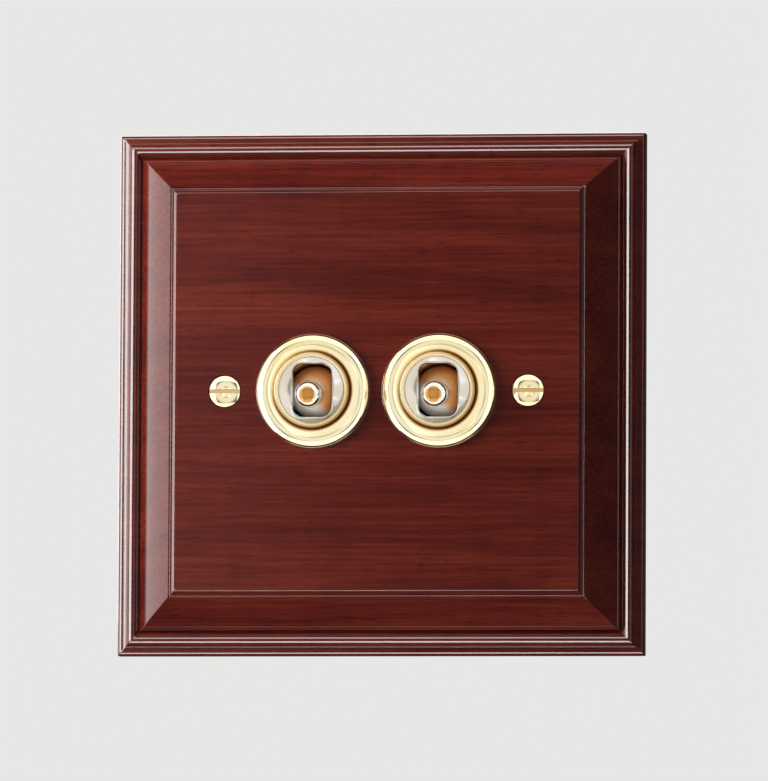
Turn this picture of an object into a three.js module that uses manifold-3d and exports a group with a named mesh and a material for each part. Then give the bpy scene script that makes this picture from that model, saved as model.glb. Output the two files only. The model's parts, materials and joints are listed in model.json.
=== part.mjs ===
// Two-gang toggle wall switch on a moulded mahogany plate, with polished brass dollies, in millimetres.
// X runs to the right and Z up across the plate's face, and Y runs into the wall.
// The origin is the middle of the plate's back, in the plane of the wall.
import * as THREE from 'three';
import { mergeVertices } from 'three/addons/utils/BufferGeometryUtils.js';
import Module from 'manifold-3d';

const wasm = await Module();
wasm.setup();

// ---------------------------------------------------------------- driving dimensions

// Clearances
const seatGap = 0.1; // between faces that rest on each other
const boreGap = 0.2; // round a fixed piece in its hole, on the radius
const runningGap = 0.15; // round a piece that turns on its pin, on the radius
const through = 1; // how far a cutting tool runs past the face it cuts

// Moulded plate
const plateWidth = 105;
const plateHeight = 103.7;
const plateDepth = 12.5; // wall to panel face
const rimWall = 9; // wood left round the pocket in the back
const panelThickness = 5.5;
const edgeHeight = 3; // straight part of the outer edge
const arrisRadius = 0.6;
const lipWidth = 1.7; // flat outside the bead
const beadRadius = 1.3;
const beadRise = 0.6; // bead centre above the lip
const quirkWidth = 0.1;
const ovoloWidth = 6.7;
const ovoloTurn = THREE.MathUtils.degToRad(26); // how far the ovolo's arc turns
const grooveWidth = 0.3;
const grooveDepth = 0.3;
const riserWidth = 0.9; // slanting step up to the panel
const riserHeight = 1.1;

// Fixing screws, raised countersunk
const standardFixingPitch = 60.3;
const fixingRadius = 1.75;
const fixingLength = 30; // panel face to tip
const fixingHeadRadius = 3.05;
const fixingHeadRise = 0.9;
const slotWidth = 0.8;
const slotDepth = 0.9;

// Brass rose, the ring nut that clamps each switch to the plate
const roseRadius = 11.3;
const roseHeight = 2.5;
const roseEdge = 0.6;
const roseLand = 0.5; // flat ring at the top of its dome
const roseChamfer = 0.35;
const roseGap = 2.4; // least space between the two roses

// Brass bush, the threaded collar that the dolly turns in
const bushRadius = 7.5;
const bushStandout = 3.3; // past the panel face
const bushFlange = 1.7; // how far the flange stands out from the barrel
const flangeThickness = 1.5;
const rimWidth = 1; // rounded rim at its mouth
const dishDepth = 2.6;
const mouthHalfWidth = 3.9;
const mouthGap = 0.7; // beside the ball, where the mouth opens into the cavity
const mouthMargin = 1.2; // from the ends of the mouth to the rim
const mouthCorner = 2;
const bushWall = 1.85; // round the cavity that the dolly's ball sits in
const mouthLip = 0.4; // metal left between the bottom of the dish and the cavity

// Dolly, the lever
const throwAngle = THREE.MathUtils.degToRad(6); // each side of straight out
const ballGap = 0.45; // round the ball in its cavity
const knobRadius = 2.7;
const knobReach = 11.8; // pivot to the knob's centre
const neckRadius = 1.65;
const neckReach = 8.8;
const rootRadius = 2.3;
const rootReach = 5.6;
const tailRadius = 2.9;
const tailReach = 9.5;
const pinRadius = 1;

// Spring and plunger in the dolly's tail
const plungerRadius = 1.6;
const plungerGap = 0.3;
const plungerReach = 13.5; // pivot to the plunger's tip
const plungerLength = 7;
const springFloor = 2.9; // pivot to the bottom of the spring's hole
const springWire = 0.18;
const springTurns = 4;

// Rocker and contacts
const rockAngle = THREE.MathUtils.degToRad(6); // each side of level
const rockerWidth = 5;
const rockerLength = 19;
const copperThickness = 0.8;
const plungerClearance = 0.15; // plunger to rocker, with both straight
const trunnionRadius = 0.55;
const buttonRadius = 1.4;
const buttonThickness = 0.7;
const buttonShank = 0.7;
const buttonInset = 1.2; // button's centre from the end of the rocker
const buttonMargin = 0.5; // strip beyond its button
const contactGap = 0.14; // between closed contacts
const earThickness = 0.8;
const earGap = 0.5; // rocker's side to the ear
const earHalfHeight = 1.6;

// Terminals
const blockSize = 6.5;
const terminalPitch = 13.5; // middle terminal to the outer ones
const tunnelRadius = 1.8;
const tunnelWall = 0.5; // brass in front of the tunnel
const terminalScrewRadius = 1.6;
const terminalHeadRadius = 2.3;
const terminalHeadThickness = 1.4;
const wellGap = 0.3;

// Moulded case of each switch
const caseSideWall = 1.8; // beyond the bore for the bush's flange
const caseEndWall = 2; // beyond the contact strips
const caseSpacing = 2.6; // least space between the two cases
const coverWall = 1.4;
const coverDepth = 7;
const rivetRadius = 1.2;
const rivetHeadRadius = 2;
const rivetHeadThickness = 0.6;
const rivetEdge = 3; // centre of a rivet from the case's sides

// Steel strap behind the panel
const strapThickness = 1.2;
const strapMargin = 1; // strap beyond the earth block
const strapEdge = 3.8; // middle of a fixing hole to the strap's end
const strapCorner = 3;
const woodScrewRadius = 1.3;
const woodScrewHeadRadius = 2.5;
const woodScrewHeadThickness = 1.3;
const woodScrewEdge = 4.5; // from the strap's edges
const woodSkin = 0.9; // wood left in front of a screw's tip
const earthBlockSize = 6;
const earthGap = 1; // below the cases

// Facets round a turned piece
const fineSides = 24;
const coarseSides = 12;
const smallSides = 8;

// ---------------------------------------------------------------- places worked out from them

const outward = -1; // Y grows into the wall, so a height above the wall is negative Y
const panelFace = outward * plateDepth;
const pocketFloor = panelFace + panelThickness;
const pocketWidth = plateWidth - 2 * rimWall;
const pocketHeight = plateHeight - 2 * rimWall;

const strapFront = pocketFloor + seatGap;
const strapBack = strapFront + strapThickness;
const coverFront = strapBack + seatGap;
const flangeFront = coverFront + coverWall + seatGap;
const flangeBack = flangeFront + flangeThickness;
const caseSplit = coverFront + coverDepth;

const bushFront = panelFace - bushStandout;
const cavityRadius = bushRadius - bushWall;
const dishRadius = bushRadius - rimWidth;
const dishFloor = bushFront + dishDepth;
const cavityFront = dishFloor + mouthLip;
const mouthHalfHeight = dishRadius - mouthMargin;
const ballRadius = cavityRadius - ballGap;
const pivotY = cavityFront + Math.sqrt(ballRadius ** 2 - (mouthHalfWidth - mouthGap) ** 2);

const flangeBore = bushRadius + bushFlange + boreGap;
const caseWidth = 2 * (flangeBore + caseSideWall);
const gangPitch = Math.max(caseWidth + caseSpacing, 2 * roseRadius + roseGap);
const fixingPitch = Math.max(
  standardFixingPitch,
  gangPitch + 2 * (roseRadius + fixingHeadRadius + seatGap),
  gangPitch + caseWidth + 2 * (fixingRadius + boreGap),
);

const rockerPivotY = pivotY + plungerReach + plungerClearance + copperThickness / 2;
const buttonPlace = rockerLength / 2 - buttonInset;
const buttonBack = copperThickness / 2 + buttonThickness; // rocker's middle to its button's face
// The rear corner of the rocker's button, with the rocker against its stop
const closedReach = buttonBack * Math.cos(rockAngle)
  + (buttonPlace + buttonRadius) * Math.sin(rockAngle);
const fixedButtonFront = rockerPivotY + closedReach + contactGap;
const contactFront = fixedButtonFront + buttonThickness;
const contactBack = contactFront + copperThickness;
const contactInner = buttonPlace - buttonRadius - buttonMargin;
const contactOuter = terminalPitch + blockSize / 2;

const pocketGap = 0.2; // round a terminal block in the base
const caseHeight = 2 * (contactOuter + pocketGap + caseEndWall);
const earthZ = -(caseHeight / 2 + earthGap + earthBlockSize / 2);
const strapWidth = fixingPitch + 2 * strapEdge;
const strapHeight = 2 * (earthBlockSize / 2 + strapMargin - earthZ);

const blockFront = contactBack + seatGap;
const blockBack = blockFront + blockSize;
const tunnelY = blockFront + tunnelWall + tunnelRadius;
const wellFloor = blockBack + seatGap;
const caseBack = wellFloor + terminalHeadThickness + wellGap;

// ---------------------------------------------------------------- materials

function finish(color, roughness, metalness) {
  return new THREE.MeshStandardMaterial({ color, roughness, metalness });
}
const mahogany = finish(0x5e211c, 0.3, 0);
const polishedBrass = finish(0xe3c878, 0.15, 1);
const terminalBrass = finish(0xc9a659, 0.35, 1);
const copper = finish(0xb87345, 0.4, 1);
const silver = finish(0xd8d8d4, 0.3, 1);
const zincSteel = finish(0xb9bdc1, 0.4, 1);
const springSteel = finish(0x9a9ea3, 0.35, 1);
const phenolic = finish(0x2a2321, 0.45, 0);

// ---------------------------------------------------------------- solids

// A closed geometry as a manifold solid, with its shared vertices merged.
function solidOf(geometry) {
  const bare = new THREE.BufferGeometry();
  bare.setAttribute('position', geometry.getAttribute('position'));
  if (geometry.index) bare.setIndex(geometry.index);
  const merged = mergeVertices(bare, 1e-4);
  const corners = [];
  for (let i = 0; i < merged.index.count; i += 3) {
    const [a, b, c] = [0, 1, 2].map((k) => merged.index.getX(i + k));
    if (a !== b && b !== c && c !== a) corners.push(a, b, c);
  }
  return new wasm.Manifold(new wasm.Mesh({
    numProp: 3,
    vertProperties: merged.getAttribute('position').array,
    triVerts: new Uint32Array(corners),
  }));
}

function geometryOf(solid) {
  const mesh = solid.getMesh();
  const positions = new Float32Array(mesh.numVert * 3);
  for (let i = 0; i < mesh.numVert; i += 1) {
    positions.set(mesh.vertProperties.subarray(i * mesh.numProp, i * mesh.numProp + 3), i * 3);
  }
  const geometry = new THREE.BufferGeometry();
  geometry.setAttribute('position', new THREE.BufferAttribute(positions, 3));
  geometry.setIndex(new THREE.BufferAttribute(mesh.triVerts, 1));
  geometry.computeVertexNormals();
  return geometry;
}

// A block between two corners.
function block([x0, y0, z0], [x1, y1, z1]) {
  const box = new THREE.BoxGeometry(x1 - x0, y1 - y0, z1 - z0);
  return solidOf(box.translate((x0 + x1) / 2, (y0 + y1) / 2, (z0 + z1) / 2));
}

// An outline of (radius, y) points turned round the Y axis. It starts at the front, and runs back outside.
function turned(outline, sides, arcSteps = 2) {
  return solidOf(new THREE.LatheGeometry(outline.getPoints(arcSteps), sides));
}

// A plain rod round the Y axis.
function rod(radius, front, back, sides = coarseSides) {
  const outline = new THREE.Path();
  outline.moveTo(0, front).lineTo(radius, front).lineTo(radius, back).lineTo(0, back);
  return turned(outline, sides);
}

// A rod along X or Z, centred on the origin.
function crossRod(radius, length, axis, sides = coarseSides) {
  const bar = new THREE.CylinderGeometry(radius, radius, length, sides);
  return solidOf(axis === 'x' ? bar.rotateZ(Math.PI / 2) : bar.rotateX(Math.PI / 2));
}

// An outline in X and Z as a slab from one depth to another.
function slab(outline, front, back) {
  const sheet = new THREE.ExtrudeGeometry(outline, {
    depth: back - front, bevelEnabled: false, curveSegments: 3,
  });
  return solidOf(sheet.rotateX(Math.PI / 2).translate(0, back, 0));
}

function roundedRectangle(width, height, corner) {
  const [w, h] = [width / 2 - corner, height / 2 - corner];
  const outline = new THREE.Shape();
  outline.absarc(w, h, corner, 0, Math.PI / 2);
  outline.absarc(-w, h, corner, Math.PI / 2, Math.PI);
  outline.absarc(-w, -h, corner, Math.PI, 1.5 * Math.PI);
  outline.absarc(w, -h, corner, 1.5 * Math.PI, 2 * Math.PI);
  outline.closePath();
  return outline;
}

// A screwdriver slot across a head, along X.
function driverSlot(radius, front, back) {
  return block([-radius - through, front, -slotWidth / 2], [radius + through, back, slotWidth / 2]);
}

function piece(name, solid, material, x = 0, y = 0, z = 0) {
  const mesh = new THREE.Mesh(geometryOf(solid), material);
  mesh.name = name;
  mesh.position.set(x, y, z);
  return mesh;
}

// ---------------------------------------------------------------- plate

// The moulding's outline, as (distance in from the edge, height above the wall).
function mouldingOutline() {
  const lipHeight = edgeHeight + arrisRadius;
  const beadCentre = [lipWidth + beadRadius, lipHeight + beadRise];
  const quirk = [beadCentre[0] + beadRadius + quirkWidth, beadCentre[1]];
  const ovoloTop = [quirk[0] + ovoloWidth, plateDepth - riserHeight];
  const outline = new THREE.Path();
  outline.moveTo(0, 0);
  outline.lineTo(0, edgeHeight);
  outline.absarc(arrisRadius, edgeHeight, arrisRadius, Math.PI, Math.PI / 2, true);
  outline.lineTo(lipWidth, lipHeight);
  outline.absarc(...beadCentre, beadRadius, Math.PI, 0, true);
  outline.lineTo(...quirk);
  // The arc stands on the chord from the quirk to the top of the ovolo.
  const [rise, run] = [ovoloTop[1] - quirk[1], ovoloTop[0] - quirk[0]];
  const radius = Math.hypot(rise, run) / 2 / Math.sin(ovoloTurn / 2);
  const start = Math.atan2(rise, run) + ovoloTurn / 2;
  const centre = [quirk[0] + radius * Math.sin(start), quirk[1] - radius * Math.cos(start)];
  outline.absarc(...centre, radius, start + Math.PI / 2, start + Math.PI / 2 - ovoloTurn, true);
  outline.lineTo(ovoloTop[0] + grooveWidth, ovoloTop[1] - grooveDepth);
  outline.lineTo(ovoloTop[0] + grooveWidth + riserWidth, plateDepth);
  return outline;
}

// The outline carried round the plate with a mitre at each corner.
function mitredBlank(outline) {
  const rings = outline.getPoints(2);
  const positions = [];
  for (const { x: inset, y: height } of rings) {
    const [w, h] = [plateWidth / 2 - inset, plateHeight / 2 - inset];
    for (const [x, z] of [[-w, -h], [w, -h], [w, h], [-w, h]]) positions.push(x, -height, z);
  }
  const corners = [0, 2, 1, 0, 3, 2];
  for (let ring = 0; ring < rings.length - 1; ring += 1) {
    for (let side = 0; side < 4; side += 1) {
      const [a, b] = [4 * ring + side, 4 * ring + (side + 1) % 4];
      corners.push(a, b, b + 4, a, b + 4, a + 4);
    }
  }
  const last = 4 * (rings.length - 1);
  corners.push(last, last + 1, last + 2, last, last + 2, last + 3);
  const geometry = new THREE.BufferGeometry();
  geometry.setAttribute('position', new THREE.Float32BufferAttribute(positions, 3));
  geometry.setIndex(corners);
  return solidOf(geometry);
}

// A fixing screw's own outline, grown by a gap. The hole in the plate is the same outline with a gap.
function fixingOutline(gap, tip) {
  const [head, shank] = [fixingHeadRadius + gap, fixingRadius + gap];
  const outline = new THREE.Path();
  outline.moveTo(0, -fixingHeadRise - gap);
  outline.quadraticCurveTo(head * 0.7, -fixingHeadRise - gap, head, 0);
  outline.lineTo(shank, head - shank);
  outline.lineTo(shank, tip);
  outline.lineTo(0, tip);
  return outline;
}

function woodPlate() {
  const pocketHalf = [pocketWidth / 2, pocketHeight / 2];
  let solid = mitredBlank(mouldingOutline()).subtract(block(
    [-pocketHalf[0], pocketFloor, -pocketHalf[1]],
    [pocketHalf[0], through, pocketHalf[1]],
  ));
  for (const side of [-1, 1]) {
    const bore = rod(bushRadius + 1.5 * boreGap, panelFace - through, through, fineSides);
    const hole = turned(fixingOutline(boreGap, plateDepth + through), 2 * coarseSides);
    solid = solid.subtract(bore.translate([side * gangPitch / 2, 0, 0]));
    solid = solid.subtract(hole.translate([side * fixingPitch / 2, panelFace, 0]));
  }
  for (const [x, z] of woodScrewPlaces()) {
    const pilot = rod(woodScrewRadius + seatGap, panelFace + woodSkin - seatGap, 0);
    solid = solid.subtract(pilot.translate([x, 0, z]));
  }
  return piece('wood_plate', solid, mahogany);
}

function fixingScrew(side, name) {
  const shape = turned(fixingOutline(0, fixingLength), 2 * coarseSides);
  const slot = driverSlot(fixingHeadRadius, -fixingHeadRise - through, slotDepth - fixingHeadRise);
  return piece(name, shape.subtract(slot), polishedBrass, side * fixingPitch / 2, panelFace, 0);
}

// ---------------------------------------------------------------- strap, wood screws and earth terminal

function woodScrewPlaces() {
  const [x, z] = [strapWidth / 2 - woodScrewEdge, strapHeight / 2 - woodScrewEdge];
  return [[-x, z], [x, z], [-x, -z], [x, -z]];
}

function backingStrap() {
  let solid = slab(roundedRectangle(strapWidth, strapHeight, strapCorner), strapFront, strapBack);
  const drill = (radius, x, z, sides) => {
    const hole = rod(radius, strapFront - through, strapBack + through, sides);
    solid = solid.subtract(hole.translate([x, 0, z]));
  };
  for (const side of [-1, 1]) {
    drill(bushRadius + boreGap, side * gangPitch / 2, 0, fineSides);
    drill(fixingRadius + 2 * boreGap, side * fixingPitch / 2, 0);
  }
  for (const [x, z] of woodScrewPlaces()) drill(woodScrewRadius + boreGap, x, z);
  drill(terminalScrewRadius + boreGap, 0, earthZ);
  return piece('backing_strap', solid, zincSteel);
}

// A round-headed wood screw driven forwards through the strap into the panel.
function woodScrew(name, [x, z]) {
  const head = strapBack + seatGap;
  const tip = panelFace + woodSkin;
  const outline = new THREE.Path();
  outline.moveTo(0, tip);
  outline.lineTo(woodScrewRadius, tip + woodScrewRadius);
  outline.lineTo(woodScrewRadius, head);
  outline.lineTo(woodScrewHeadRadius, head);
  outline.lineTo(woodScrewHeadRadius, head + woodScrewHeadThickness / 2);
  outline.lineTo(woodScrewHeadRadius * 0.6, head + woodScrewHeadThickness);
  outline.lineTo(0, head + woodScrewHeadThickness);
  const slotFloor = head + woodScrewHeadThickness / 2;
  const slot = driverSlot(woodScrewHeadRadius, slotFloor, slotFloor + woodScrewHeadThickness);
  return piece(name, turned(outline, coarseSides).subtract(slot), zincSteel, x, 0, z);
}

// A brass block with a tunnel for the wire across it and a tapped hole for its screw from the back.
function terminalBlock(size, front, tunnelAxis) {
  const half = size / 2;
  const back = front + size;
  const tunnel = crossRod(tunnelRadius, size + 2 * through, tunnelAxis);
  const wire = front + (tunnelY - blockFront);
  return block([-half, front, -half], [half, back, half])
    .subtract(tunnel.translate([0, wire, 0]))
    .subtract(rod(terminalScrewRadius + boreGap, wire, back + through));
}

function terminalScrew(front, back) {
  const head = back + seatGap;
  const outline = new THREE.Path();
  outline.moveTo(0, front);
  outline.lineTo(terminalScrewRadius, front);
  outline.lineTo(terminalScrewRadius, head);
  outline.lineTo(terminalHeadRadius, head);
  outline.lineTo(terminalHeadRadius, head + terminalHeadThickness);
  outline.lineTo(0, head + terminalHeadThickness);
  const slotFloor = head + terminalHeadThickness / 2;
  const slot = driverSlot(terminalHeadRadius, slotFloor, slotFloor + terminalHeadThickness);
  return turned(outline, coarseSides).subtract(slot);
}

function earthTerminal() {
  const front = strapBack + seatGap;
  const back = front + earthBlockSize;
  const spigot = rod(terminalScrewRadius, strapFront + seatGap, front + seatGap);
  const tip = front + (tunnelY - blockFront) + tunnelRadius;
  return [
    piece('earth_block', terminalBlock(earthBlockSize, front, 'x').add(spigot), terminalBrass, 0, 0, earthZ),
    piece('earth_screw', terminalScrew(tip, back), terminalBrass, 0, 0, earthZ),
  ];
}

// ---------------------------------------------------------------- brass fittings of one gang

function rose() {
  const [inner, top] = [bushRadius + boreGap / 2, -roseHeight];
  const landOuter = inner + roseChamfer + roseLand;
  const outline = new THREE.Path();
  outline.moveTo(inner, top + roseChamfer);
  outline.lineTo(inner + roseChamfer, top);
  outline.lineTo(landOuter, top);
  outline.quadraticCurveTo((landOuter + roseRadius) / 2, top, roseRadius, -roseEdge);
  outline.lineTo(roseRadius, -seatGap);
  outline.lineTo(inner, -seatGap);
  outline.closePath();
  return turned(outline, fineSides, 4).translate([0, panelFace, 0]);
}

function bush() {
  const rim = rimWidth / 2;
  const flangeRadius = bushRadius + bushFlange;
  const dishArc = (dishRadius ** 2 + dishDepth ** 2) / (2 * dishDepth);
  const dishTurn = Math.asin(dishRadius / dishArc);
  const outline = new THREE.Path();
  outline.absarc(0, dishFloor - dishArc, dishArc, Math.PI / 2, Math.PI / 2 - dishTurn, true);
  outline.absarc(bushRadius - rim, bushFront, rim, Math.PI, 2 * Math.PI);
  outline.lineTo(bushRadius, flangeFront);
  outline.lineTo(flangeRadius, flangeFront);
  outline.lineTo(flangeRadius, flangeBack);
  outline.lineTo(0, flangeBack);
  const mouth = roundedRectangle(2 * mouthHalfWidth, 2 * mouthHalfHeight, mouthCorner);
  const pinHole = crossRod(pinRadius + seatGap, 2 * (bushRadius + through), 'x');
  return turned(outline, fineSides)
    .subtract(rod(cavityRadius, cavityFront, flangeBack + through, fineSides))
    .subtract(slab(mouth, bushFront - through, cavityFront + seatGap))
    .subtract(pinHole.translate([0, pivotY, 0]));
}

function pivotPin() {
  return crossRod(pinRadius, 2 * (bushRadius - seatGap), 'x');
}

// The dolly about its pivot, with its knob towards the room.
function dolly() {
  const shoulder = Math.asin(rootRadius / ballRadius);
  const tailAngle = Math.asin(tailRadius / ballRadius);
  const knobEnd = Math.acos(neckRadius / knobRadius);
  const outline = new THREE.Path();
  outline.absarc(0, -knobReach, knobRadius, -Math.PI / 2, knobEnd);
  outline.lineTo(neckRadius, -neckReach);
  outline.lineTo(rootRadius, -rootReach);
  outline.absarc(0, 0, ballRadius, shoulder - Math.PI / 2, Math.PI / 2 - tailAngle);
  outline.lineTo(tailRadius, tailReach);
  outline.lineTo(0, tailReach);
  return turned(outline, Math.round(fineSides * 0.75), 3)
    .subtract(rod(plungerRadius + plungerGap, springFloor, tailReach + through))
    .subtract(crossRod(pinRadius + runningGap, 2 * (ballRadius + through), 'x'));
}

function plunger() {
  const back = plungerReach - plungerLength;
  const outline = new THREE.Path();
  outline.moveTo(0, back);
  outline.lineTo(plungerRadius, back);
  outline.absarc(0, plungerReach - plungerRadius, plungerRadius, 0, Math.PI / 2);
  return turned(outline, coarseSides);
}

class Helix extends THREE.Curve {
  constructor(radius, front, back, turns) {
    super();
    Object.assign(this, { radius, front, back, turns });
  }

  getPoint(t, target = new THREE.Vector3()) {
    const angle = 2 * Math.PI * this.turns * t;
    const y = this.front + (this.back - this.front) * t;
    return target.set(this.radius * Math.cos(angle), y, this.radius * Math.sin(angle));
  }
}

function spring() {
  const section = new THREE.Shape();
  section.absarc(0, 0, springWire, 0, 2 * Math.PI);
  const front = springFloor + springWire + seatGap;
  const back = plungerReach - plungerLength - springWire - seatGap;
  const radius = plungerRadius + plungerGap - springWire - 2 * seatGap;
  return solidOf(new THREE.ExtrudeGeometry(section, {
    steps: 8 * springTurns,
    curveSegments: 3,
    bevelEnabled: false,
    extrudePath: new Helix(radius, front, back, springTurns),
  }));
}

// ---------------------------------------------------------------- contacts of one gang

// A silver button with a shank, its face towards +Y or -Y.
function button(towards) {
  const shank = rod(buttonShank, -copperThickness / 2, copperThickness / 2, smallSides);
  const face = copperThickness / 2 + seatGap / 2;
  const head = rod(buttonRadius, face, copperThickness / 2 + buttonThickness, smallSides);
  const joint = rod(buttonShank, 0, face + seatGap, smallSides);
  const solid = shank.add(joint).add(head);
  return towards > 0 ? solid : solid.mirror([0, 1, 0]);
}

function buttonHole() {
  return rod(buttonShank + seatGap, -through, through, smallSides);
}

// The rocker about its own pivot.
function rocker() {
  const half = [rockerWidth / 2, copperThickness / 2, rockerLength / 2];
  const reach = rockerWidth + 2 * (earGap + earThickness) - 2 * seatGap;
  return block(half.map((v) => -v), half)
    .add(crossRod(trunnionRadius, reach, 'x', smallSides))
    .subtract(buttonHole().translate([0, 0, buttonPlace]))
    .subtract(buttonHole().translate([0, 0, -buttonPlace]));
}

// The common contact: a plate on the middle terminal with two ears that the rocker's trunnions turn in.
function commonSaddle() {
  const inner = rockerWidth / 2 + earGap;
  const outer = inner + earThickness;
  const ear = block(
    [inner, rockerPivotY - earHalfHeight, -earHalfHeight],
    [outer, contactFront + seatGap, earHalfHeight],
  );
  const bore = crossRod(trunnionRadius + runningGap, 2 * (outer + through), 'x');
  return block([-outer, contactFront, -blockSize / 2], [outer, contactBack, blockSize / 2])
    .add(ear)
    .add(ear.mirror([1, 0, 0]))
    .subtract(bore.translate([0, rockerPivotY, 0]));
}

// A fixed contact strip, from its button to its terminal, on the upper or the lower side.
function contactStrip(side) {
  const ends = [side * contactInner, side * contactOuter].sort((a, b) => a - b);
  const middle = (contactFront + contactBack) / 2;
  return block(
    [-rockerWidth / 2, contactFront, ends[0]],
    [rockerWidth / 2, contactBack, ends[1]],
  ).subtract(buttonHole().translate([0, middle, side * buttonPlace]));
}

// ---------------------------------------------------------------- case of one gang

const rivetPlaces = [-1, 1].map((s) => [
  s * (caseWidth / 2 - rivetEdge), s * (caseHeight / 2 - rivetEdge),
]);
const counterbore = rivetHeadThickness + 2 * seatGap;

function rivet() {
  const front = coverFront + counterbore - seatGap;
  const back = caseBack - counterbore + seatGap;
  return rod(rivetRadius, front - seatGap, back + seatGap)
    .add(rod(rivetHeadRadius, front - rivetHeadThickness, front))
    .add(rod(rivetHeadRadius, back, back + rivetHeadThickness));
}

function drillForRivets(solid) {
  let drilled = solid;
  for (const [x, z] of rivetPlaces) {
    const tool = rod(rivetRadius + boreGap, coverFront - through, caseBack + through)
      .add(rod(rivetHeadRadius + boreGap, coverFront - through, coverFront + counterbore))
      .add(rod(rivetHeadRadius + boreGap, caseBack - counterbore, caseBack + through));
    drilled = drilled.subtract(tool.translate([x, 0, z]));
  }
  return drilled;
}

function caseBlock(front, back) {
  return block([-caseWidth / 2, front, -caseHeight / 2], [caseWidth / 2, back, caseHeight / 2]);
}

function caseCover() {
  const solid = caseBlock(coverFront, caseSplit)
    .subtract(rod(bushRadius + boreGap, coverFront - through, caseSplit, fineSides))
    .subtract(rod(flangeBore, coverFront + coverWall, caseSplit + through, fineSides));
  return drillForRivets(solid);
}

function caseBase() {
  const cavity = [rockerWidth / 2 + earGap + earThickness + 4 * pocketGap, contactOuter + pocketGap];
  const pocket = blockSize / 2 + pocketGap;
  const wire = tunnelRadius + boreGap;
  const inside = caseHeight / 2 - terminalPitch;
  let solid = caseBlock(caseSplit + seatGap, caseBack).subtract(
    block([-cavity[0], caseSplit, -cavity[1]], [cavity[0], contactBack + seatGap / 2, cavity[1]]),
  );
  for (const z of [-terminalPitch, 0, terminalPitch]) {
    const hollow = block([-pocket, contactBack, -pocket], [pocket, wellFloor - seatGap / 2, pocket])
      .add(rod(terminalHeadRadius + wellGap, blockBack, caseBack + through));
    solid = solid.subtract(hollow.translate([0, 0, z]));
  }
  for (const side of [-1, 1]) {
    const tunnel = crossRod(wire, inside + through, 'z');
    const place = side * (terminalPitch + (inside + through) / 2);
    solid = solid.subtract(tunnel.translate([0, tunnelY, place]));
  }
  const middleTunnel = crossRod(wire, caseWidth + 2 * through, 'x');
  return drillForRivets(solid.subtract(middleTunnel.translate([0, tunnelY, 0])));
}

// ---------------------------------------------------------------- one gang, named by its side

function gang(name, x) {
  const group = new THREE.Group();
  group.position.x = x;
  const stripMiddle = (contactFront + contactBack) / 2;
  group.add(
    piece(`rose_${name}`, rose(), polishedBrass),
    piece(`bush_${name}`, bush(), polishedBrass),
    piece(`pivot_pin_${name}`, pivotPin(), springSteel, 0, pivotY, 0),
    piece(`case_cover_${name}`, caseCover(), phenolic),
    piece(`case_base_${name}`, caseBase(), phenolic),
    piece(`common_saddle_${name}`, commonSaddle(), copper),
  );
  rivetPlaces.forEach(([rx, rz], i) => {
    group.add(piece(`case_rivet_${i + 1}_${name}`, rivet(), terminalBrass, rx, 0, rz));
  });
  for (const [end, side] of [['upper', 1], ['lower', -1]]) {
    group.add(
      piece(`contact_${end}_${name}`, contactStrip(side), copper),
      piece(`contact_button_${end}_${name}`, button(-1), silver, 0, stripMiddle, side * buttonPlace),
    );
  }
  for (const [end, z] of [['common', 0], ['upper', terminalPitch], ['lower', -terminalPitch]]) {
    const clamp = terminalBlock(blockSize, blockFront, z === 0 ? 'x' : 'z');
    const screw = terminalScrew(tunnelY + tunnelRadius, blockBack);
    group.add(
      piece(`terminal_${end}_${name}`, clamp, terminalBrass, 0, 0, z),
      piece(`terminal_screw_${end}_${name}`, screw, terminalBrass, 0, 0, z),
    );
  }

  // The dolly rests with its knob down. Its spring and plunger tilt with it.
  const lever = new THREE.Group();
  lever.position.y = pivotY;
  lever.rotation.x = throwAngle;
  lever.add(
    piece(`dolly_${name}`, dolly(), polishedBrass),
    piece(`plunger_${name}`, plunger(), terminalBrass),
    piece(`spring_${name}`, spring(), springSteel),
  );

  // The rocker rests with its upper end back, on the upper contact.
  const rocking = new THREE.Group();
  rocking.position.y = rockerPivotY;
  rocking.rotation.x = -rockAngle;
  rocking.add(piece(`rocker_${name}`, rocker(), copper));
  for (const [end, side] of [['upper', 1], ['lower', -1]]) {
    rocking.add(piece(`rocker_button_${end}_${name}`, button(1), silver, 0, 0, side * buttonPlace));
  }
  group.add(lever, rocking);
  return group;
}

const wallSwitch = new THREE.Group();
wallSwitch.add(
  woodPlate(),
  backingStrap(),
  fixingScrew(-1, 'fixing_screw_left'),
  fixingScrew(1, 'fixing_screw_right'),
  ...woodScrewPlaces().map((place, i) => woodScrew(`wood_screw_${i + 1}`, place)),
  ...earthTerminal(),
  gang('left', -gangPitch / 2),
  gang('right', gangPitch / 2),
);

export default wallSwitch;
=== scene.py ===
"""Toggle wall switch: two polished brass dolly switches on a moulded mahogany plate.

Everything is in metres in the frame's own axes: +X to the right, +Z up and +Y into the wall. The
origin is the middle of the plate's back. Outlines are written in millimetres as (outwards, depth)
points, where depth grows into the wall, so anything in front of the wall has a negative depth.
"""

from __future__ import annotations

import json
import logging
import math
from abc import ABC, abstractmethod
from collections.abc import Callable
from dataclasses import dataclass, field
from enum import Enum

import bmesh
import bpy
from mathutils import Matrix, Vector

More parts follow.
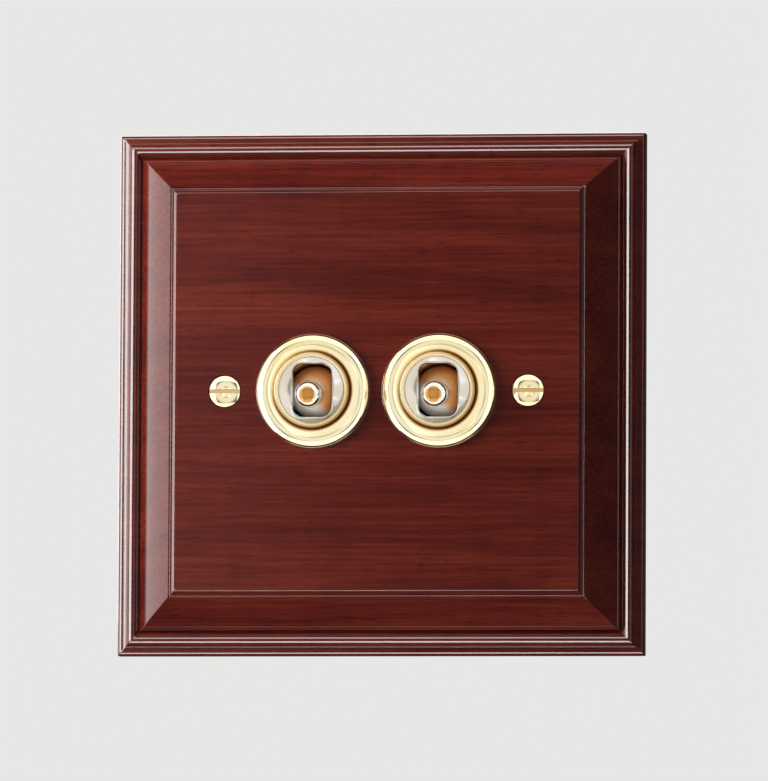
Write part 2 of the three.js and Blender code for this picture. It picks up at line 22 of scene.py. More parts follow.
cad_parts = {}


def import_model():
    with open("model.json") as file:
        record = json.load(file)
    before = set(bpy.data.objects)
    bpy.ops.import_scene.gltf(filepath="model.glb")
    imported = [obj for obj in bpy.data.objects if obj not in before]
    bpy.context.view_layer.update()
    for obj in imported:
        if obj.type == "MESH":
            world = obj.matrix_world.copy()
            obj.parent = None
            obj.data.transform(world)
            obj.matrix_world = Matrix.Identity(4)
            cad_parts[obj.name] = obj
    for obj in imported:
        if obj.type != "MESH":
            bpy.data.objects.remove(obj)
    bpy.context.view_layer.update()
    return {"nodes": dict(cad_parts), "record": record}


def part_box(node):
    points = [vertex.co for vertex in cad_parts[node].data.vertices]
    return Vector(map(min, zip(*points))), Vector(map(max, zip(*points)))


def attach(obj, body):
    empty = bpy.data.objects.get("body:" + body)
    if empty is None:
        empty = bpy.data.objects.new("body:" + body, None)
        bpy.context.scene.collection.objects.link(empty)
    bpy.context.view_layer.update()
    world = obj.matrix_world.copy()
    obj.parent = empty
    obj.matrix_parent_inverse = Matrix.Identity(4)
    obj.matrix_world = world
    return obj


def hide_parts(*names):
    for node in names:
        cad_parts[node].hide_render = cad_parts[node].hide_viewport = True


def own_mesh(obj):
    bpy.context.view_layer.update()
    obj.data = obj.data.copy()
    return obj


LOG = logging.getLogger("wall_switch")
MM = 0.001

Colour = tuple[float, float, float]
Triple = tuple[float, float, float]
Point = tuple[float, float]
SIDES = ("left", "right")
STATIC_BODY = "switch"
FORWARDS = Vector((0.0, -1.0, 0.0))  # out of the wall
PAST = 1.0  # how far a cutter runs past a face, in millimetres
THROUGH = 60 * MM  # longer than any hole that runs right through


# ------------------------------------------------------------------ nodes as expressions


def operator(operation: str, swapped: bool = False) -> Callable[[Wire, Wire | float], Wire]:
    """Makes a method that adds a Math node.

    Args:
        operation: The Math node's operation.
        swapped: Whether the wire is the node's second value.

    Returns:
        The method.
    """

    def method(wire: Wire, other: Wire | float) -> Wire:
        """Puts the wire together with a number or another wire."""
        return wire.bench.maths(operation, *((other, wire) if swapped else (wire, other)))

    return method


class Wire:
    """An output socket. Arithmetic on it adds the Math nodes that the expression stands for.

    above is 1 where the wire is over a limit and 0 elsewhere, and below is 1 where it is under one.
    """

    __add__, __radd__ = operator("ADD"), operator("ADD", True)
    __sub__, __rsub__ = operator("SUBTRACT"), operator("SUBTRACT", True)
    __mul__, __rmul__ = operator("MULTIPLY"), operator("MULTIPLY", True)
    __truediv__, __rtruediv__ = operator("DIVIDE"), operator("DIVIDE", True)
    above, below = operator("GREATER_THAN"), operator("LESS_THAN")

    def __init__(self, bench: Bench, socket: bpy.types.NodeSocket) -> None:
        """Wraps a socket of the bench's tree."""
        self.bench = bench
        self.socket = socket

    def rise(self, low: float, high: float) -> Wire:
        """Ramps this wire smoothly.

        Args:
            low: The value where the ramp is 0.
            high: The value where the ramp is 1. It may be under low, for a fall.

        Returns:
            The ramp, from 0 to 1.
        """
        sockets = {"Value": self, "From Min": low, "From Max": high}
        return self.bench.add("ShaderNodeMapRange", {"interpolation_type": "SMOOTHSTEP"}, sockets)


class Bench:
    """Adds nodes to one tree."""

    def __init__(self, tree: bpy.types.NodeTree) -> None:
        """Works on a shader's tree or a geometry tree."""
        self.tree = tree

    def node(self, kind: str, settings: dict | None = None,
             sockets: dict | None = None) -> bpy.types.Node:
        """Adds a node.

        Args:
            kind: The node's type.
            settings: The node's own properties. The key "stops" holds a colour ramp's stops.
            sockets: A value or a wire for each input socket, by its name or number.

        Returns:
            The new node.
        """
        made = self.tree.nodes.new(kind)
        for name, value in (settings or {}).items():
            if name == "stops":
                self._set_stops(made.color_ramp, value)
            else:
                setattr(made, name, value)
        self.feed(made, sockets or {})
        return made

    def _set_stops(self, ramp: bpy.types.ColorRamp, stops: list[tuple[float, Colour]]) -> None:
        """Gives a colour ramp its stops, each a place and a colour."""
        while len(ramp.elements) < len(stops):
            ramp.elements.new(1.0)
        for element, (place, colour) in zip(ramp.elements, stops):
            element.position = place
            element.color = (*colour, 1.0)

    def feed(self, node: bpy.types.Node, sockets: dict) -> None:
        """Sets or links a node's input sockets, by name or number."""
        for key, value in sockets.items():
            if isinstance(value, Wire):
                self.tree.links.new(value.socket, node.inputs[key])
            else:
                node.inputs[key].default_value = value

    def wire(self, node: bpy.types.Node, output: int | str = 0) -> Wire:
        """One of a node's outputs as a wire."""
        return Wire(self, node.outputs[output])

    def add(self, kind: str, settings: dict | None = None, sockets: dict | None = None,
            output: int | str = 0) -> Wire:
        """Adds a node as the node method does, and returns one of its outputs as a wire."""
        return self.wire(self.node(kind, settings, sockets), output)

    def maths(self, operation: str, *values: Wire | float) -> Wire:
        """Adds a Math node and returns its result."""
        return self.add("ShaderNodeMath", {"operation": operation}, dict(enumerate(values)))

    def vector_maths(self, operation: str, first: Wire, second: Wire | Triple, output: int = 0) -> Wire:
        """Adds a Vector Math node and returns one of its results."""
        node = self.node("ShaderNodeVectorMath", {"operation": operation}, {0: first, 1: second})
        return self.wire(node, output)

    def mixed(self, share: Wire | float, first: Wire | Colour, second: Wire | Colour,
              blend: str = "MIX") -> Wire:
        """Mixes two colours.

        Args:
            share: How much of the second colour, from 0 to 1.
            first: The colour at 0.
            second: The colour at 1.
            blend: The Mix node's blend type.

        Returns:
            The mixed colour.
        """
        first, second = (c if isinstance(c, Wire) else (*c, 1.0) for c in (first, second))
        settings = {"data_type": "RGBA", "blend_type": blend, "clamp_factor": True}
        return self.add("ShaderNodeMix", settings, {0: share, 6: first, 7: second}, output=2)

    def object_place(self) -> Wire:
        """The point's place in its object's own axes, in metres."""
        return self.add("ShaderNodeTexCoord", output="Object")

    def parts(self, vector: Wire) -> tuple[Wire, Wire, Wire]:
        """A vector's three numbers."""
        node = self.node("ShaderNodeSeparateXYZ", None, {0: vector})
        return self.wire(node, 0), self.wire(node, 1), self.wire(node, 2)

    def noise(self, per_metre: Triple, detail: float = 2.0, roughness: float = 0.5,
              distortion: float = 0.0, place: Wire | None = None) -> Wire:
        """Adds a noise pattern on the object's own coordinates.

        Args:
            per_metre: How many blotches to the metre, along X, Y and Z.
            detail: The noise's octaves.
            roughness: How strong the finer octaves are.
            distortion: How far the pattern is pulled about.
            place: Another vector to read in place of the object's coordinates.

        Returns:
            The pattern, from 0 to 1 with its middle at 0.5.
        """
        source = place or self.object_place()
        mapped = self.add("ShaderNodeMapping", None, {"Vector": source, "Scale": per_metre})
        sockets = {"Vector": mapped, "Scale": 1.0, "Detail": detail, "Roughness": roughness,
                   "Distortion": distortion}
        return self.add("ShaderNodeTexNoise", None, sockets)

    def bump(self, height: Wire, strength: float, distance: float) -> Wire:
        """Turns a height into a normal, for a relief of a distance in metres."""
        sockets = {"Height": height, "Strength": strength, "Distance": distance}
        return self.add("ShaderNodeBump", None, sockets)


# ------------------------------------------------------------------ finishes


@dataclass(frozen=True)
class Finish(ABC):
    """A surface finish: the material of one slot of the record."""

    name: str
    slot: str

    def material(self) -> bpy.types.Material:
        """The finish's material, made on the first call."""
        made = bpy.data.materials.get(self.name)
        if made is None:
            made = bpy.data.materials.new(self.name)
            made.use_nodes = True
            self.dress(Bench(made.node_tree), made.node_tree.nodes["Principled BSDF"])
        return made

    @abstractmethod
    def dress(self, bench: Bench, shader: bpy.types.Node) -> None:
        """Gives the shader its colours, roughness and relief."""


@dataclass(frozen=True)
class LacqueredMahogany(Finish):
    """Dark red mahogany under a glossy clear lacquer, and bare inside the pocket in the back."""

    dark: Colour = (0.058, 0.0056, 0.0046)
    middle: Colour = (0.108, 0.0122, 0.0078)
    light: Colour = (0.168, 0.0255, 0.0130)
    pore: Colour = (0.020, 0.0030, 0.0030)
    bare: Colour = (0.230, 0.0750, 0.0360)
    bands_per_metre: Triple = (9.0, 95.0, 120.0)
    fibres_per_metre: Triple = (45.0, 1300.0, 1500.0)
    pores_per_metre: Triple = (260.0, 3600.0, 4200.0)
    ripple_per_metre: Triple = (170.0, 60.0, 60.0)
    tones: Triple = (0.36, 0.50, 0.66)
    shares: Triple = (0.45, 0.45, 0.10)  # of the bands, the fibres and the ripple
    pore_reach: Point = (0.60, 0.70)
    pore_share: float = 0.75
    bare_reach: Point = (0.35, 0.70)
    bare_shade: float = 0.62
    rough: Triple = (0.36, 0.12, 0.25)  # all over, with the fibres, and where it is bare
    relief: Point = (0.25, 0.05 * MM)  # its strength and its depth
    back_depth: float = -0.05 * MM
    pocket_half: Point = (43.6 * MM, 42.95 * MM)
    pocket_floor: float = -7.1 * MM
    coat_roughness: float = 0.035
    coat_ior: float = 1.52

    def dress(self, bench: Bench, shader: bpy.types.Node) -> None:
        """Grain along X, with bands, fibres, fine pores and a faint ripple across the grain."""
        bands = bench.noise(self.bands_per_metre, 3.0, 0.55, 0.6)
        fibres = bench.noise(self.fibres_per_metre, 4.0, 0.6, 0.2)
        ripple = bench.noise(self.ripple_per_metre, 2.0, 0.5, 0.4)
        pores = bench.noise(self.pores_per_metre, 2.0, 0.55, 0.0).rise(*self.pore_reach)
        tone = bands * self.shares[0] + fibres * self.shares[1] + ripple * self.shares[2]
        stops = list(zip(self.tones, (self.dark, self.middle, self.light)))
        ramp = bench.add("ShaderNodeValToRGB", {"stops": stops}, {0: tone})
        stained = bench.mixed(pores * self.pore_share, ramp, self.pore)
        raw = bench.mixed(fibres.rise(*self.bare_reach), self.bare,
                          tuple(part * self.bare_shade for part in self.bare))
        bare = self._unlacquered(bench)
        height = fibres * 0.5 - pores
        bench.feed(shader, {
            "Base Color": bench.mixed(bare, stained, raw),
            "Roughness": self.rough[0] + fibres * self.rough[1] + bare * self.rough[2],
            "Coat Weight": 1.0 - bare,
            "Coat Roughness": self.coat_roughness,
            "Coat IOR": self.coat_ior,
            "Specular IOR Level": 0.0,
            "Normal": bench.bump(height, *self.relief),
        })

    def _unlacquered(self, bench: Bench) -> Wire:
        """1 on the back of the rim and in the pocket, and 0 on the lacquered faces."""
        x, y, z = bench.parts(bench.object_place())
        inside = (bench.maths("ABSOLUTE", x).below(self.pocket_half[0])
                  * bench.maths("ABSOLUTE", z).below(self.pocket_half[1])
                  * y.above(self.pocket_floor))
        return bench.maths("MAXIMUM", inside, y.above(self.back_depth))


@dataclass(frozen=True)
class PolishedBrass(Finish):
    """Mirror-polished brass with faint polishing marks and smudges.

    It is painted paler and whiter in each dish, a painted reflection. Painted shade darkens it in the groove
    round each bush, mostly low and to the right where shadow falls, in the screws' slots and down in each
    mouth, apart from the low left of it, which looks lit. The knob's tip is painted amber, a painted reflection.
    """

    metal: Colour = (0.930, 0.830, 0.560)
    warm: Colour = (0.900, 0.740, 0.400)
    # Dark brown painted as shade in the groove round each bush and in the screws' slots.
    painted_shade_brown: Colour = (0.400, 0.190, 0.045)
    # Brown painted as shade down in each mouth.
    mouth_shade_brown: Colour = (0.620, 0.265, 0.050)
    # Paler, whiter brass painted in each dish: a painted reflection.
    pale: Colour = (0.680, 0.650, 0.610)
    # Amber painted on the knob's tip: a painted reflection.
    reflected_amber: Colour = (0.520, 0.225, 0.035)
    gang_offset: float = 12.5 * MM
    # The groove round each bush, which painted shade darkens.
    groove_radius: float = 7.60 * MM
    groove_reach: Point = (0.25 * MM, 0.85 * MM)
    # Inside this radius the brass is painted paler, a painted reflection.
    dish_radius: float = 6.5 * MM
    # The mouth that painted shade darkens.
    mouth_radius: float = 5.8 * MM
    mouth_depth: Point = (-14.1 * MM, -13.1 * MM)
    # The middle of the knob's tip, and the reach of the painted reflection round it.
    tip: Point = (-23.12 * MM, -1.52 * MM)
    tip_reach: Point = (1.45 * MM, 1.95 * MM)
    # Where the mouth's painted shade fades out towards its low left, which looks lit.
    lit_low_left: Point = (0.3 * MM, 2.2 * MM)
    # The screws' slots, which painted shade darkens.
    notch: Point = (0.41 * MM, -12.90 * MM)
    shade_way: Point = (0.8, 0.6)  # right and down, where the painted shade in the groove is heaviest
    shade_reach: Point = (-6.0 * MM, 3.0 * MM)
    shade_wander: float = 6.0 * MM
    groove_shade: Point = (0.25, 0.70)  # painted shade all round the groove, and more at the lower right
    lit_way: Point = (0.65, 0.75)  # left and down, where the mouth's painted shade is left off
    # How strongly painted shade darkens the screws' slots.
    slot_shade: float = 0.7
    # How strongly painted shade darkens each mouth.
    mouth_shade: float = 0.9
    # How strongly the painted amber reflection covers the knob's tip.
    tip_reflection: float = 0.95
    dulled: Point = (0.8, 0.3)  # how far the mouth and the groove lose their metal
    rough: float = 0.075
    roughened: Triple = (0.05, 0.20, 0.10)  # by smudges, in the mouth and groove, and on the tip
    clouds_per_metre: Triple = (90.0, 90.0, 90.0)
    scuffs_per_metre: Triple = (2600.0, 2600.0, 2600.0)
    screw_offset: float = 22.5 * MM
    relief: Point = (0.06, 0.02 * MM)

    def dress(self, bench: Bench, shader: bpy.types.Node) -> None:
        """A bright metal whose colour and gloss wander a little, with painted shade and painted reflections on
        it.
        """
        x, y, z = bench.parts(bench.object_place())
        right = x.above(0.0) * 2.0 - 1.0
        out = x - right * self.gang_offset
        radius = bench.maths("SQRT", out * out + z * z)
        cloud = bench.noise(self.clouds_per_metre, 3.0, 0.6, 0.5)
        scuffs = bench.noise(self.scuffs_per_metre, 2.0, 0.6, 0.0)
        # Painted shade in the groove round each bush: all round, and heaviest at the lower right, where shadow
        # falls.
        groove = bench.maths("ABSOLUTE", radius - self.groove_radius).rise(*reversed(self.groove_reach))
        shaded_low_right = (out * self.shade_way[0] - z * self.shade_way[1] + cloud * self.shade_wander).rise(
            *self.shade_reach)
        edge = groove * (self.groove_shade[0] + self.groove_shade[1] * shaded_low_right)
        # The mouth's painted shade is left off towards its low left, where the mouth looks lit.
        lit_low_left = (z * -self.lit_way[1] - out * self.lit_way[0]).rise(*self.lit_low_left)
        inside = y.rise(*self.mouth_depth) * radius.below(self.mouth_radius)
        # The knob's tip, where the painted amber reflection goes.
        up, along = z - self.tip[1], y - self.tip[0]
        tip = bench.maths("SQRT", out * out + up * up + along * along).rise(*reversed(self.tip_reach))
        colour = bench.mixed(cloud.rise(0.35, 0.75), self.metal, self.warm)
        # Paler, whiter brass inside each dish: a painted reflection.
        colour = bench.mixed(radius.below(self.dish_radius), colour, self.pale)
        # Painted shade in the screws' slots, mixed in with the groove's painted shade.
        slot = (bench.maths("ABSOLUTE", z).below(self.notch[0]) * y.above(self.notch[1])
                * bench.maths("ABSOLUTE", x).above(self.screw_offset))
        colour = bench.mixed(bench.maths("MAXIMUM", edge, slot * self.slot_shade), colour, self.painted_shade_brown)
        # Painted shade down in each mouth.
        colour = bench.mixed(inside * (1.0 - lit_low_left) * self.mouth_shade, colour, self.mouth_shade_brown)
        bench.feed(shader, {
            # The knob's tip painted amber: a painted reflection.
            "Base Color": bench.mixed(tip * self.tip_reflection, colour, self.reflected_amber),
            "Metallic": 1.0 - inside * self.dulled[0] - edge * self.dulled[1],
            "Roughness": (self.rough + cloud * self.roughened[0] + edge * self.roughened[1]
                          + inside * self.roughened[1] + tip * self.roughened[2]),
            "Normal": bench.bump(scuffs, *self.relief),
        })


class Grain(Enum):
    """Which way a worked metal's marks run."""

    TURNED = (700.0, 2600.0, 700.0)
    ROLLED = (3200.0, 3200.0, 260.0)
    TUMBLED = (1100.0, 1100.0, 1100.0)


@dataclass(frozen=True)
class WorkedMetal(Finish):
    """Bare or plated metal as it leaves the press, the lathe or the plating barrel."""

    metal: Colour
    stain: Colour
    rough: float
    grain: Grain
    patches_per_metre: Triple = (160.0, 160.0, 160.0)
    stain_reach: Point = (0.45, 0.80)
    stain_share: float = 0.7
    roughened: Point = (0.16, 0.08)  # by the marks and by the patches
    relief: Point = (0.18, 0.03 * MM)

    def dress(self, bench: Bench, shader: bpy.types.Node) -> None:
        """Fine marks along the grain and a patchy stain."""
        marks = bench.noise(self.grain.value, 3.0, 0.6, 0.0)
        patches = bench.noise(self.patches_per_metre, 3.0, 0.55, 0.8)
        bench.feed(shader, {
            "Base Color": bench.mixed(patches.rise(*self.stain_reach) * self.stain_share, self.metal, self.stain),
            "Metallic": 1.0,
            "Roughness": self.rough + marks * self.roughened[0] + patches * self.roughened[1],
            "Normal": bench.bump(marks, *self.relief),
        })


@dataclass(frozen=True)
class MouldedPhenolic(Finish):
    """Dark brown phenolic moulding with its filler just showing."""

    dark: Colour = (0.034, 0.0200, 0.0150)
    fleck: Colour = (0.110, 0.058, 0.036)
    flecks_per_metre: Triple = (900.0, 900.0, 1400.0)
    flow_per_metre: Triple = (70.0, 70.0, 40.0)
    skin_per_metre: Triple = (420.0, 420.0, 420.0)
    fleck_reach: Point = (0.56, 0.78)
    flow_reach: Point = (0.40, 0.80)
    shares: Point = (0.6, 0.2)  # of the flecks and of the flow lines
    rough: Triple = (0.30, 0.16, 0.08)  # all over, with the flow and with the flecks
    relief: Point = (0.12, 0.04 * MM)

    def dress(self, bench: Bench, shader: bpy.types.Node) -> None:
        """A half-gloss skin over small lighter flecks."""
        flecks = bench.noise(self.flecks_per_metre, 3.0, 0.7, 0.5)
        flow = bench.noise(self.flow_per_metre, 2.0, 0.5, 1.2)
        skin = bench.noise(self.skin_per_metre, 2.0, 0.5, 0.0)
        share = (flecks.rise(*self.fleck_reach) * self.shares[0]
                 + flow.rise(*self.flow_reach) * self.shares[1])
        bench.feed(shader, {
            "Base Color": bench.mixed(share, self.dark, self.fleck),
            "Roughness": self.rough[0] + flow * self.rough[1] + flecks * self.rough[2],
            "Normal": bench.bump(skin, *self.relief),
        })


MAHOGANY = LacqueredMahogany("lacquered_mahogany", "mahogany")
BRASS = PolishedBrass("mirror_polished_brass", "polished_brass")
TURNED_BRASS = WorkedMetal(
    "turned_brass", "terminal_brass", (0.80, 0.58, 0.24), (0.42, 0.24, 0.09), 0.20, Grain.TURNED)
COPPER = WorkedMetal(
    "rolled_copper", "copper", (0.86, 0.42, 0.26), (0.36, 0.14, 0.08), 0.24, Grain.ROLLED)
SILVER = WorkedMetal(
    "contact_silver", "silver", (0.88, 0.87, 0.84), (0.42, 0.39, 0.34), 0.22, Grain.TUMBLED)
ZINC = WorkedMetal(
    "bright_zinc", "zinc_steel", (0.66, 0.68, 0.70), (0.44, 0.47, 0.52), 0.24, Grain.ROLLED)
SPRING_STEEL = WorkedMetal(
    "drawn_spring_steel", "spring_steel", (0.52, 0.52, 0.53), (0.25, 0.22, 0.20), 0.22, Grain.TUMBLED)
PHENOLIC = MouldedPhenolic("moulded_phenolic", "phenolic")


# ------------------------------------------------------------------ outlines


class Outline:
    """A path of (outwards, depth) points in millimetres."""

    def __init__(self, x: float, y: float) -> None:
        """Starts the path at a point."""
        self.points: list[Point] = [(x, y)]

    def to(self, x: float, y: float) -> Outline:
        """Adds a straight line to a point."""
        self.points.append((x, y))
        return self

    def arc(self, centre: Point, radius: float, start: float, end: float, steps: int = 12) -> Outline:
        """Adds an arc.

        Args:
            centre: The arc's centre.
            radius: The arc's radius.
            start: The angle that it starts at, in degrees from outwards towards the wall.
            end: The angle that it ends at.
            steps: How many straight pieces stand for it.

        Returns:
            This outline.
        """
        for step in range(steps + 1):
            angle = math.radians(start + (end - start) * step / steps)
            self.to(centre[0] + radius * math.cos(angle), centre[1] + radius * math.sin(angle))
        return self

    def swell(self, top: Point, foot: Point, steps: int = 14, upwards: bool = False) -> Outline:
        """Adds a quarter of an ellipse, level at its top and upright at its foot.

        Args:
            top: The point where it runs along X.
            foot: The point where it runs along Y.
            steps: How many straight pieces stand for it.
            upwards: Whether it goes from its foot to its top.

        Returns:
            This outline.
        """
        for step in range(steps + 1):
            turn = math.pi / 2 * ((steps - step) if upwards else step) / steps
            x = top[0] + (foot[0] - top[0]) * math.sin(turn)
            y = foot[1] + (top[1] - foot[1]) * math.cos(turn)
            self.to(x, y)
        return self

    def ease(self, x: float, y: float, radius: float, onward: Point, steps: int = 4) -> Outline:
        """Adds a rounded corner.

        Args:
            x: Where the corner would be, outwards.
            y: Where the corner would be, in depth.
            radius: The rounding's radius.
            onward: A point on the line that leaves the corner.
            steps: How many straight pieces stand for the rounding.

        Returns:
            This outline.
        """
        corner = Vector((x, y))
        back = (Vector(self.points[-1]) - corner).normalized()
        ahead = (Vector(onward) - corner).normalized()
        half = back.angle(ahead) / 2
        reach = radius / math.tan(half)
        centre = corner + (back + ahead).normalized() * (radius / math.sin(half))
        first, last = ((corner + way * reach - centre).normalized() for way in (back, ahead))
        for step in range(steps + 1):
            self.to(*(centre + first.slerp(last, step / steps) * radius))
        return self

    def close(self) -> Outline:
        """Comes back to the first point."""
        return self.to(*self.points[0])

    def edge_mesh(self, name: str) -> bpy.types.Mesh:
        """The outline as a mesh of edges, in metres, without the points that stand on each other."""
        kept: list[Point] = []
        for point in self.points:
            if not kept or math.dist(point, kept[-1]) > 1e-4:
                kept.append(point)
        mesh = bpy.data.meshes.new(name)
        edges = [(i, i + 1) for i in range(len(kept) - 1)]
        mesh.from_pydata([(x * MM, y * MM, 0.0) for x, y in kept], edges, [])
        return mesh


# ------------------------------------------------------------------ geometry trees


class GeometryRecipe(ABC):
    """A geometry tree with named inputs, built once and shared by every piece that uses it."""

    name: str
    inputs: dict[str, tuple[str, float | int | None]]

    def tree(self) -> bpy.types.NodeTree:
        """The tree, made on the first call."""
        made = bpy.data.node_groups.get(self.name)
        if made is not None:
            return made
        made = bpy.data.node_groups.new(self.name, "GeometryNodeTree")
        made.interface.new_socket("Geometry", in_out="INPUT", socket_type="NodeSocketGeometry")
        for label, (kind, start) in self.inputs.items():
            socket = made.interface.new_socket(label, in_out="INPUT", socket_type=kind)
            if start is not None:
                socket.default_value = start
        made.interface.new_socket("Geometry", in_out="OUTPUT", socket_type="NodeSocketGeometry")
        bench = Bench(made)
        source = bench.node("NodeGroupInput")
        wires = {label: bench.wire(source, label) for label in ("Geometry", *self.inputs)}
        shape = self.shape(bench, wires)
        real = bench.add("GeometryNodeRealizeInstances", None, {0: shape})
        smooth = bench.add("GeometryNodeSetShadeSmooth", None, {"Geometry": real})
        dressed = {"Geometry": smooth, "Material": wires["Material"]}
        last = bench.add("GeometryNodeSetMaterial", None, dressed)
        bench.node("NodeGroupOutput", None, {0: last})
        return made

    @abstractmethod
    def shape(self, bench: Bench, wires: dict[str, Wire]) -> Wire:
        """Adds the nodes that make the shape, and returns its geometry."""

    def run(self, source: bpy.types.Object, values: dict[str, object]) -> bpy.types.Object:
        """Replaces an object's mesh with what the tree makes of it.

        Args:
            source: The object whose mesh the tree reads.
            values: A value for each named input that isn't left at its start.

        Returns:
            The same object, as a plain mesh.
        """
        modifier = source.modifiers.new(self.name, "NODES")
        modifier.node_group = self.tree()
        labels = {s.name: s.identifier for s in modifier.node_group.interface.items_tree
                  if s.item_type == "SOCKET" and s.in_out == "INPUT"}
        for label, value in values.items():
            modifier[labels[label]] = value
        return settle(source)


FLOAT, VECTOR, MATERIAL = "NodeSocketFloat", "NodeSocketVector", "NodeSocketMaterial"


class CarriedOutline(GeometryRecipe):
    """Carries an outline round a circle, or round a rectangle with a mitre at each corner."""

    name = "outline_carried_round"
    inputs = {
        "Mitred": (FLOAT, 0.0),
        "Half Width": (FLOAT, 0.0),
        "Half Height": (FLOAT, 0.0),
        "Corner Radius": (FLOAT, 0.0),
        "Facets": ("NodeSocketInt", 24),
        "Thread Depth": (FLOAT, 0.0),
        "Thread Pitch": (FLOAT, 1.0),
        "Thread Start": (FLOAT, 0.0),
        "Thread End": (FLOAT, 0.0),
        "Centre": (VECTOR, None),
        "Material": (MATERIAL, None),
    }

    def shape(self, bench: Bench, wires: dict[str, Wire]) -> Wire:
        """A grid with a row for each outline point and a column for each facet, bent into place."""
        outline = wires["Geometry"]
        rows = bench.add("GeometryNodeAttributeDomainSize", {"component": "MESH"}, {0: outline},
                         "Point Count")
        corner_columns = wires["Facets"] + 1
        columns = corner_columns * 4 + 1
        grid = bench.add("GeometryNodeMeshGrid", None, {"Vertices X": columns, "Vertices Y": rows})
        index = bench.add("GeometryNodeInputIndex")
        column = bench.maths("FLOOR", (index + 0.5) / rows)
        sample = bench.add("GeometryNodeSampleIndex", {"data_type": "FLOAT_VECTOR"}, {
            "Geometry": outline,
            "Value": bench.add("GeometryNodeInputPosition"),
            "Index": index - column * rows,
        })
        out, depth, _ = bench.parts(sample)
        corner = bench.maths("FLOOR", (column + 0.5) / corner_columns)
        quarters = corner + (column - corner * corner_columns) / wires["Facets"]
        angle = quarters * (math.pi / 2)
        out = out - self._thread(bench, wires, depth, quarters)
        mitred = wires["Mitred"]
        radius = mitred * wires["Corner Radius"] + (1.0 - mitred) * out
        diagonal = (corner + 0.5) * (math.pi / 2)
        place = []
        for turn, half in (("COSINE", "Half Width"), ("SINE", "Half Height")):
            core = mitred * (wires[half] + out - wires["Corner Radius"])
            side = bench.maths("SIGN", bench.maths(turn, diagonal))
            place.append(core * side + radius * bench.maths(turn, angle))
        point = bench.add("ShaderNodeCombineXYZ", None, {0: place[0], 1: depth, 2: place[1]})
        centred = bench.vector_maths("ADD", point, wires["Centre"])
        placed = {"Geometry": grid, "Position": centred}
        bent = bench.add("GeometryNodeSetPosition", None, placed)
        joined = {"Geometry": bent, "Distance": 0.0005 * MM}
        return bench.add("GeometryNodeMergeByDistance", None, joined)

    def _thread(self, bench: Bench, wires: dict[str, Wire], depth: Wire, quarters: Wire) -> Wire:
        """How deep the thread cuts in at a point: a V that climbs one pitch each turn."""
        turns = depth / wires["Thread Pitch"] + quarters / 4.0
        vee = bench.maths("ABSOLUTE", bench.maths("FRACT", turns) * 2.0 - 1.0)
        threaded = depth.above(wires["Thread Start"]) * depth.below(wires["Thread End"])
        return wires["Thread Depth"] * vee * threaded


class PatternAtPlaces(GeometryRecipe):
    """Puts a copy of a pattern at each point of a mesh, turned about Y as a driver leaves screws."""

    name = "pattern_at_places"
    inputs = {
        "Pattern": ("NodeSocketObject", None),
        "Turn": (FLOAT, 0.0),
        "Seed": ("NodeSocketInt", 7),
        "Material": (MATERIAL, None),
    }

    def shape(self, bench: Bench, wires: dict[str, Wire]) -> Wire:
        """One instance of the pattern on each point."""
        pattern = bench.add("GeometryNodeObjectInfo", None, {"Object": wires["Pattern"]}, "Geometry")
        spread = {"Min": -1.0, "Max": 1.0, "Seed": wires["Seed"]}
        chance = bench.node("FunctionNodeRandomValue", {"data_type": "FLOAT"})
        for socket in chance.inputs:
            if socket.enabled and socket.name in spread:
                bench.feed(chance, {list(chance.inputs).index(socket): spread[socket.name]})
        share = next(output for output in chance.outputs if output.enabled)
        angle = Wire(bench, share) * wires["Turn"]
        sockets = {"Points": wires["Geometry"], "Instance": pattern,
                   "Rotation": bench.add("ShaderNodeCombineXYZ", None, {1: angle})}
        return bench.add("GeometryNodeInstanceOnPoints", None, sockets)


class CoiledWire(GeometryRecipe):
    """Winds a wire into a coil along Y."""

    name = "coiled_wire"
    inputs = {
        "Coil Radius": (FLOAT, 1.0),
        "Wire Radius": (FLOAT, 1.0),
        "Front": (FLOAT, 0.0),
        "Back": (FLOAT, 1.0),
        "Turns": (FLOAT, 5.0),
        "Material": (MATERIAL, None),
    }

    def shape(self, bench: Bench, wires: dict[str, Wire]) -> Wire:
        """A spiral with a round section, turned to lie along Y."""
        spiral = bench.add("GeometryNodeCurveSpiral", None, {
            "Resolution": 20, "Rotations": wires["Turns"], "Start Radius": wires["Coil Radius"],
            "End Radius": wires["Coil Radius"], "Height": wires["Back"] - wires["Front"],
        })
        section = bench.add("GeometryNodeCurvePrimitiveCircle", None, {
            "Resolution": 10, "Radius": wires["Wire Radius"],
        })
        sockets = {"Curve": spiral, "Profile Curve": section, "Fill Caps": True}
        coil = bench.add("GeometryNodeCurveToMesh", None, sockets)
        place = bench.add("ShaderNodeCombineXYZ", None, {1: wires["Front"]})
        laid = {"Geometry": coil, "Rotation": (-math.pi / 2, 0.0, 0.0), "Translation": place}
        return bench.add("GeometryNodeTransform", None, laid)


CARRIED = CarriedOutline()
COPIES = PatternAtPlaces()
COIL = CoiledWire()


# ------------------------------------------------------------------ mesh work


def new_object(name: str, mesh: bpy.types.Mesh) -> bpy.types.Object:
    """A mesh as an object in the scene."""
    made = bpy.data.objects.new(name, mesh)
    bpy.context.scene.collection.objects.link(made)
    return made


def settle(source: bpy.types.Object) -> bpy.types.Object:
    """Applies an object's modifiers to its mesh."""
    graph = bpy.context.evaluated_depsgraph_get()
    mesh = bpy.data.meshes.new_from_object(source.evaluated_get(graph), depsgraph=graph)
    old = source.data
    source.modifiers.clear()
    source.data = mesh
    bpy.data.meshes.remove(old)
    return source


